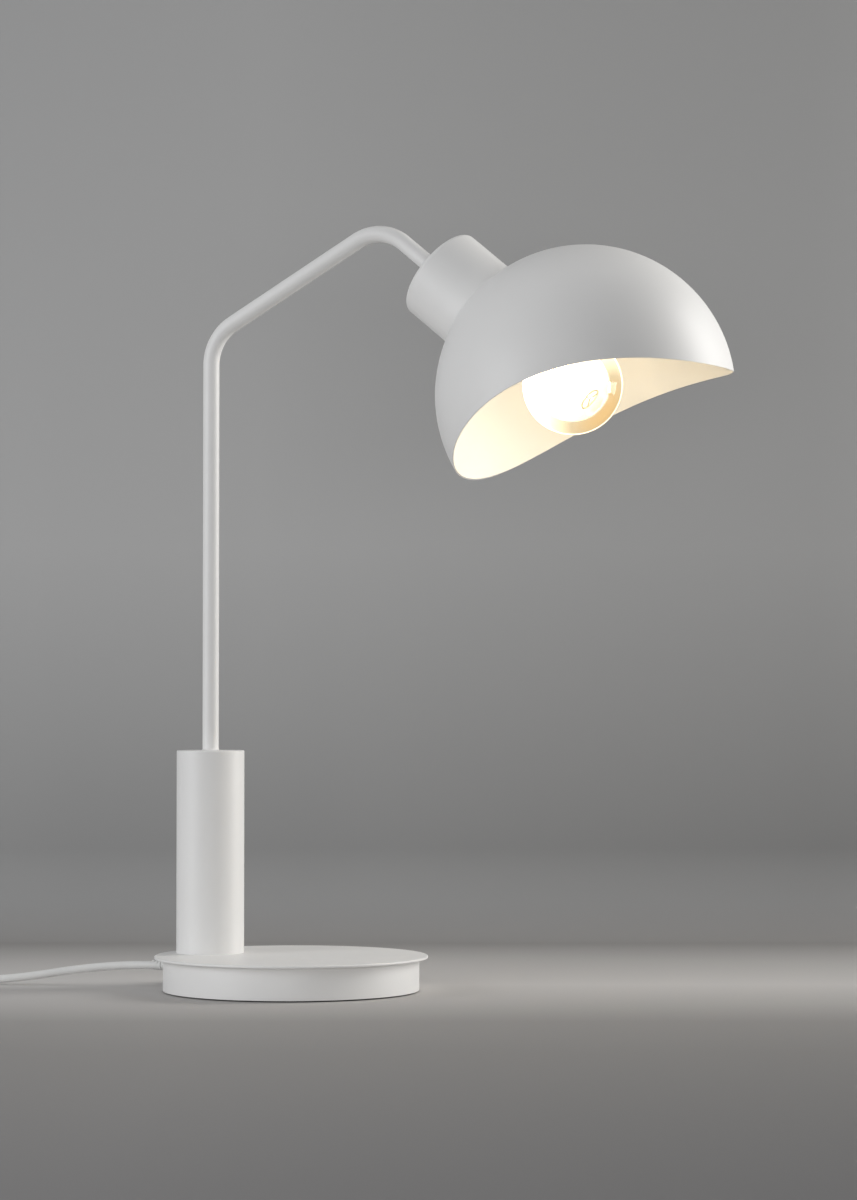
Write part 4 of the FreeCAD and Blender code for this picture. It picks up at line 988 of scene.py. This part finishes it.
glow_stops = [(0.0, 1.0, 0.93, 0.77), (0.42, 0.66, 0.59, 0.44), (0.64, 0.17, 0.145, 0.10)]
glow_stops += [(0.84, 0.080, 0.064, 0.040), (1.0, 0.085, 0.056, 0.024)]


def distance_along(tree, place, way):
    """How far a place lies along a direction."""
    along = tree.nodes.new("ShaderNodeVectorMath")
    along.operation = "DOT_PRODUCT"
    along.inputs[1].default_value = way
    tree.links.new(place, along.inputs[0])
    return along.outputs["Value"]


def lit_glass(name):
    """Clear glass with a mirror skin, whose glow falls from the neck to the front of the globe
    and whose tint deepens at the edge, where more glass is looked through."""
    material = bpy.data.materials.new(name)
    material.use_nodes = True
    tree = material.node_tree
    tree.nodes.clear()
    place = texture_place(tree)
    reach = stretch(tree, distance_along(tree, place, neck_axis), -0.145, -0.070)
    glow = graded(tree, reach, glow_stops)
    light = tree.nodes.new("ShaderNodeEmission")
    light.inputs["Strength"].default_value = 2.0
    tree.links.new(glow, light.inputs["Color"])
    edge = tree.nodes.new("ShaderNodeLayerWeight")
    edge.inputs["Blend"].default_value = 0.25
    tint = tree.nodes.new("ShaderNodeMix")
    tint.data_type = "RGBA"
    tint.inputs["A"].default_value = (0.985, 0.97, 0.93, 1.0)
    tint.inputs["B"].default_value = (0.95, 0.90, 0.80, 1.0)
    tree.links.new(edge.outputs["Facing"], tint.inputs["Factor"])
    through = tree.nodes.new("ShaderNodeBsdfTransparent")
    tree.links.new(tint.outputs["Result"], through.inputs["Color"])
    skin = tree.nodes.new("ShaderNodeBsdfGlossy")
    skin.inputs["Color"].default_value = (0.9, 0.9, 0.9, 1.0)
    ripple = grain(tree, place, 90.0)
    tree.links.new(between(tree, ripple, 0.02, 0.05), skin.inputs["Roughness"])
    shine = tree.nodes.new("ShaderNodeMixShader")
    tree.links.new(edge.outputs["Fresnel"], shine.inputs["Fac"])
    tree.links.new(through.outputs["BSDF"], shine.inputs[1])
    tree.links.new(skin.outputs["BSDF"], shine.inputs[2])
    both = tree.nodes.new("ShaderNodeAddShader")
    tree.links.new(shine.outputs["Shader"], both.inputs[0])
    tree.links.new(light.outputs["Emission"], both.inputs[1])
    output = tree.nodes.new("ShaderNodeOutputMaterial")
    tree.links.new(both.outputs["Shader"], output.inputs["Surface"])
    return material


dress(globe, "bulb", "clear_glass", lit_glass("bulb_glass_lit"), "bulb_glass")

screw_cap = begin_outline("bulb_screw_cap", 0.0080, -0.0833)
cap_band = [
    (0.0090, -0.0833),
    (0.0124, -0.0793),
    (0.0124, -0.0603),
    (0.0132, -0.0598),
    (0.0132, -0.0595),
    (0.0122, -0.0595),
    (0.0120, -0.0788),
    (0.0080, -0.0823),
    (0.0080, -0.0833),
]
draw(0.0080, -0.0833, cap_band)
turn_up(screw_cap, 64)
cap_thread = wind_thread("bulb_cap_thread", 0.0132, 0.01236, 0.0036, 5, -0.0790, False)
screw_cap = join_up([screw_cap, cap_thread])
settle(screw_cap, head_place, head_tilt)
cap_nickel = metal("cap_nickel", (0.62, 0.61, 0.58), (0.72, 0.71, 0.68), 0.20, 0.34)
dress(screw_cap, "bulb", "nickel_cap", cap_nickel, "bulb_cap")

cage = []
for k in range(4):
    rod = begin_outline("bulb_filaments", 0.0, -0.0355)
    rod_outline = [
        (0.0005, -0.0355),
        (0.0009, -0.0350),
        (0.0009, 0.0035),
        (0.0005, 0.0040),
        (0.0, 0.0040),
    ]
    draw(0.0, -0.0355, rod_outline)
    turn_up(rod, 20)
    way = math.radians(90.0 * k)
    settle(rod, (0.008 * math.cos(way), 0.008 * math.sin(way), 0.0))
    cage.append(rod)
filaments = join_up(cage)
settle(filaments, head_place, head_tilt)
filament_lit, filament_tree, filament_shader = new_finish("filament_lit")
filament_grain = grain(filament_tree, texture_place(filament_tree), 700.0)
filament_tone = tones(filament_tree, filament_grain, (1.0, 0.62, 0.22), (1.0, 0.74, 0.34))
filament_tree.links.new(filament_tone, filament_shader.inputs["Emission Color"])
filament_tree.links.new(filament_tone, filament_shader.inputs["Base Color"])
filament_shader.inputs["Emission Strength"].default_value = 14.0
dress(filaments, "bulb", "filament_glow", filament_lit, "filaments")

# ---------------------------------------------------------------- Parts that stay as they are
# The hidden works and small fittings keep the solids' own shapes and only get their finish: zinc
# plated hardware, the cast ballast, rubber foot, wiring, ceramic core and the bulb's inside.
zinc = metal("zinc_plating", (0.50, 0.50, 0.51), (0.60, 0.60, 0.61), 0.28, 0.44)
sprung_steel = metal("spring_steel", (0.36, 0.36, 0.37), (0.46, 0.46, 0.47), 0.26, 0.40)
turned_brass = metal("turned_brass", (0.66, 0.48, 0.22), (0.76, 0.58, 0.30), 0.24, 0.36, 900.0)
casting = moulded(
    "cast_iron", (0.050, 0.050, 0.052), (0.085, 0.085, 0.088), 0.62, 0.84, 240.0, 0.00025
)
foam = moulded(
    "foam_rubber", (0.020, 0.020, 0.021), (0.040, 0.040, 0.042), 0.82, 0.96, 900.0, 0.00030
)
cover_board = moulded(
    "cover_sheet", (0.10, 0.10, 0.105), (0.13, 0.13, 0.135), 0.45, 0.60, 500.0, 0.00002
)
black_moulding = moulded(
    "black_moulding", (0.022, 0.022, 0.023), (0.034, 0.034, 0.036), 0.30, 0.44, 600.0, 0.00003
)
grey_moulding = moulded(
    "grey_moulding", (0.30, 0.30, 0.305), (0.36, 0.36, 0.365), 0.36, 0.50, 600.0, 0.00003
)
clear_moulding = moulded(
    "pale_moulding", (0.62, 0.62, 0.61), (0.70, 0.70, 0.685), 0.34, 0.48, 600.0, 0.00003
)
fired_ceramic = moulded(
    "fired_ceramic", (0.70, 0.69, 0.66), (0.78, 0.77, 0.74), 0.22, 0.40, 380.0, 0.00004
)
blue_core = moulded("blue_core", (0.03, 0.10, 0.42), (0.05, 0.14, 0.52), 0.36, 0.50, 400.0, 0.00003)
brown_core = moulded(
    "brown_core", (0.13, 0.055, 0.02), (0.18, 0.080, 0.03), 0.36, 0.50, 400.0, 0.00003
)
vitreous = moulded(
    "black_vitrite", (0.012, 0.012, 0.014), (0.022, 0.022, 0.026), 0.10, 0.20, 500.0, 0.00001
)

stem_glass, stem_tree, stem_shader = new_finish("stem_glass")
stem_place = texture_place(stem_tree)
stem_clouds = grain(stem_tree, stem_place, 120.0)
stem_tone = tones(stem_tree, stem_clouds, (0.88, 0.90, 0.88), (0.96, 0.97, 0.95))
stem_tree.links.new(stem_tone, stem_shader.inputs["Base Color"])
stem_shader.inputs["Transmission Weight"].default_value = 1.0
stem_shader.inputs["IOR"].default_value = 1.5
stem_sheen = between(stem_tree, grain(stem_tree, stem_place, 300.0), 0.03, 0.08)
stem_tree.links.new(stem_sheen, stem_shader.inputs["Roughness"])


def refinish(finish, *nodes):
    """Give solids that stay as they are a finish in every one of their slots."""
    for node in nodes:
        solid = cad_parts[node]
        if not solid.data.materials:
            solid.data.materials.append(finish)
        for k in range(len(solid.data.materials)):
            solid.data.materials[k] = finish


refinish(casting, "ballast")
refinish(foam, "foot_pad")
refinish(cover_board, "bottom_cover")
refinish(zinc, "plate_standoffs", "base_screws", "inner_screws", "terminal_screws", "tie_rod")
refinish(zinc, "tie_washer", "tie_nut", "head_nipple", "clamp_nut", "stop_washer", "stop_pin")
refinish(zinc, "holder_spacer", "switch_screws", "rocker_pin")
refinish(sprung_steel, "spring_washer", "filament_frame")
refinish(black_moulding, "friction_washer", "thrust_washer")
refinish(grey_moulding, "cord_clip")
refinish(clear_moulding, "terminal_block", "post_top_guide", "post_foot_plug")
refinish(fired_ceramic, "holder_core")
refinish(turned_brass, "holder_terminals", "switch_contacts", "centre_contact", "bulb_contact")
refinish(vitreous, "bulb_insulator")
refinish(sheath_white, "cord_inner")
refinish(brown_core, "wire_live", "mains_cores")
refinish(blue_core, "wire_neutral")
refinish(stem_glass, "bulb_stem")

# ---------------------------------------------------------------- Table and backdrop
# A plain pale sheet that runs from the table up behind the lamp in one wide curve. It is mid grey
# upright, with painted light and shade that change with height; on the table a painted pool of
# light is lightest round the base and darker towards the viewer; and painted shade darkens the
# sheet towards the viewer's right. A camera behind or under the sheet looks through it; the sheet's
# faces point away from the lamp.
view_turn = math.radians(24.195)
sheet_back = 0.56
sheet_front = -2.2
sheet_curve = 0.08
backdrop = begin_outline("backdrop_sheet", -sheet_front, -0.0001)
backdrop_outline = [
    (-sheet_back + sheet_curve, -0.0001),
    (-sheet_back + sheet_curve, sheet_curve - 0.0001, -90.0),
    (-sheet_back, 2.4),
]
draw(-sheet_front, -0.0001, backdrop_outline, 6.0)
pick_all()
bpy.ops.mesh.extrude_region_move(TRANSFORM_OT_translate={"value": (0.0, 6.0, 0.0)})
pick_all()
bpy.ops.transform.translate(value=(0.0, -3.0, 0.0))
finish_mesh(backdrop, 40.0)
settle(backdrop, (0.0, 0.0, 0.0), (0.0, 0.0, view_turn - math.radians(90.0)))


def backdrop_paper_and_painted_light(name):
    """Matt paper in painted light: a painted pool of light on the table by the distance behind the
    lamp, painted light and shade upright by the height, and painted shade towards the right.
    """
    material, tree, shader = new_finish(name)
    shader.inputs["Roughness"].default_value = 0.9
    shader.inputs["Specular IOR Level"].default_value = 0.1
    place = texture_place(tree)
    split = tree.nodes.new("ShaderNodeSeparateXYZ")
    tree.links.new(place, split.inputs["Vector"])
    height = split.outputs["Z"]
    back = distance_along(tree, place, (-math.sin(view_turn), math.cos(view_turn), 0.0))
    # painted pool of light: the table's colour is lightest just round the base and darker towards
    # the viewer and far behind
    floor_light_pool_colour = graded(tree, stretch(tree, back, -1.0, 0.6), floor_light_pool_tones)
    # painted light and shade upright: darker at the sheet's foot, lightest about a third of a metre
    # up
    wall_painted_light_colour = graded(tree, stretch(tree, height, 0.0, 1.0), wall_painted_light_tones)
    mix = tree.nodes.new("ShaderNodeMix")
    mix.data_type = "RGBA"
    tree.links.new(stretch(tree, height, 0.0, 0.03), mix.inputs["Factor"])
    tree.links.new(floor_light_pool_colour, mix.inputs["A"])
    tree.links.new(wall_painted_light_colour, mix.inputs["B"])
    # painted shade: the sheet's colour is dimmed towards the viewer's right, where the right box
    # lights it most
    across = distance_along(tree, place, (math.cos(view_turn), math.sin(view_turn), 0.0))
    painted_shade_fade = stretch(tree, across, -0.05, 0.45, 1.0, 0.74)
    painted_shade_dim = tree.nodes.new("ShaderNodeVectorMath")
    painted_shade_dim.operation = "SCALE"
    tree.links.new(mix.outputs["Result"], painted_shade_dim.inputs[0])
    tree.links.new(painted_shade_fade, painted_shade_dim.inputs["Scale"])
    tree.links.new(painted_shade_dim.outputs["Vector"], shader.inputs["Base Color"])
    facing = tree.nodes.new("ShaderNodeNewGeometry")
    ray = tree.nodes.new("ShaderNodeLightPath")
    seen_behind = tree.nodes.new("ShaderNodeMath")
    seen_behind.operation = "SUBTRACT"
    seen_behind.use_clamp = True
    tree.links.new(ray.outputs["Is Camera Ray"], seen_behind.inputs[0])
    tree.links.new(facing.outputs["Backfacing"], seen_behind.inputs[1])
    clear = tree.nodes.new("ShaderNodeBsdfTransparent")
    choice = tree.nodes.new("ShaderNodeMixShader")
    tree.links.new(seen_behind.outputs["Value"], choice.inputs["Fac"])
    tree.links.new(shader.outputs["BSDF"], choice.inputs[1])
    tree.links.new(clear.outputs["BSDF"], choice.inputs[2])
    sheet_output = next(node for node in tree.nodes if node.type == "OUTPUT_MATERIAL")
    tree.links.new(choice.outputs["Shader"], sheet_output.inputs["Surface"])
    return material


# painted pool of light on the table: the tones rise to a peak round the base and fall away towards
# the viewer
floor_light_pool_tones = [(0.0, 0.27, 0.265, 0.265)]
floor_light_pool_steps = ((0.36, 0.31), (0.48, 0.35), (0.56, 0.48), (0.66, 0.61), (0.80, 0.47), (0.92, 0.31))
for where, tone in floor_light_pool_steps:
    floor_light_pool_tones.append((where, tone, tone * 0.975, tone * 0.955))
floor_light_pool_tones.append((1.0, 0.26, 0.255, 0.255))
# painted light and shade on the upright sheet, by height: darker at the foot, lightest partway up
wall_painted_light_steps = ((0.0, 0.275), (0.35, 0.435), (1.0, 0.375))
wall_painted_light_tones = [(where, tone, tone, tone) for where, tone in wall_painted_light_steps]
backdrop.data.materials.append(backdrop_paper_and_painted_light("backdrop_paper_painted_light"))

# ---------------------------------------------------------------- Lights
# Soft studio light: a broad pale box to the left of the viewer, a stronger and taller one to the
# right and slightly behind, weak ones overhead and low in front, and an even grey surround.


def add_softbox(name, place, aim, wide, high, power, tint):
    """A flat soft light at a place, turned towards a point of the lamp."""
    way = Vector(aim) - Vector(place)
    turn = way.to_track_quat("-Z", "Y").to_euler()
    bpy.ops.object.light_add(type="AREA", location=place, rotation=turn)
    box = bpy.context.object
    box.name = name
    box.data.shape = "RECTANGLE"
    box.data.size = wide
    box.data.size_y = high
    box.data.energy = power
    box.data.color = tint
    return box


def from_viewer(right, away, up):
    """A place given as metres to the viewer's right, away from the viewer, and up."""
    x = right * math.cos(view_turn) - away * math.sin(view_turn)
    y = right * math.sin(view_turn) + away * math.cos(view_turn)
    return (x, y, up)


low_aim = (0.05, 0.0, 0.25)
add_softbox(
    "left_box", from_viewer(-1.8, -1.0, 0.6), low_aim, 1.2, 1.4, 21.0, (0.965, 0.98, 1.0)
)
add_softbox(
    "right_box", from_viewer(1.5, 0.25, 0.75), low_aim, 0.7, 1.3, 22.0, (1.0, 0.985, 0.955)
)
add_softbox("top_box", from_viewer(0.1, 0.2, 1.9), low_aim, 1.2, 1.2, 3.5, (1.0, 0.97, 0.94))
add_softbox("front_box", from_viewer(0.2, -2.8, 0.25), low_aim, 1.4, 0.4, 11.0, (1.0, 0.985, 0.97))
surround = bpy.data.worlds.new("studio_surround")
bpy.context.scene.world = surround
surround.use_nodes = True
surround.node_tree.nodes["Background"].inputs["Color"].default_value = (0.95, 0.97, 1.0, 1.0)
surround.node_tree.nodes["Background"].inputs["Strength"].default_value = 0.25
bpy.context.scene.view_settings.view_transform = "Standard"
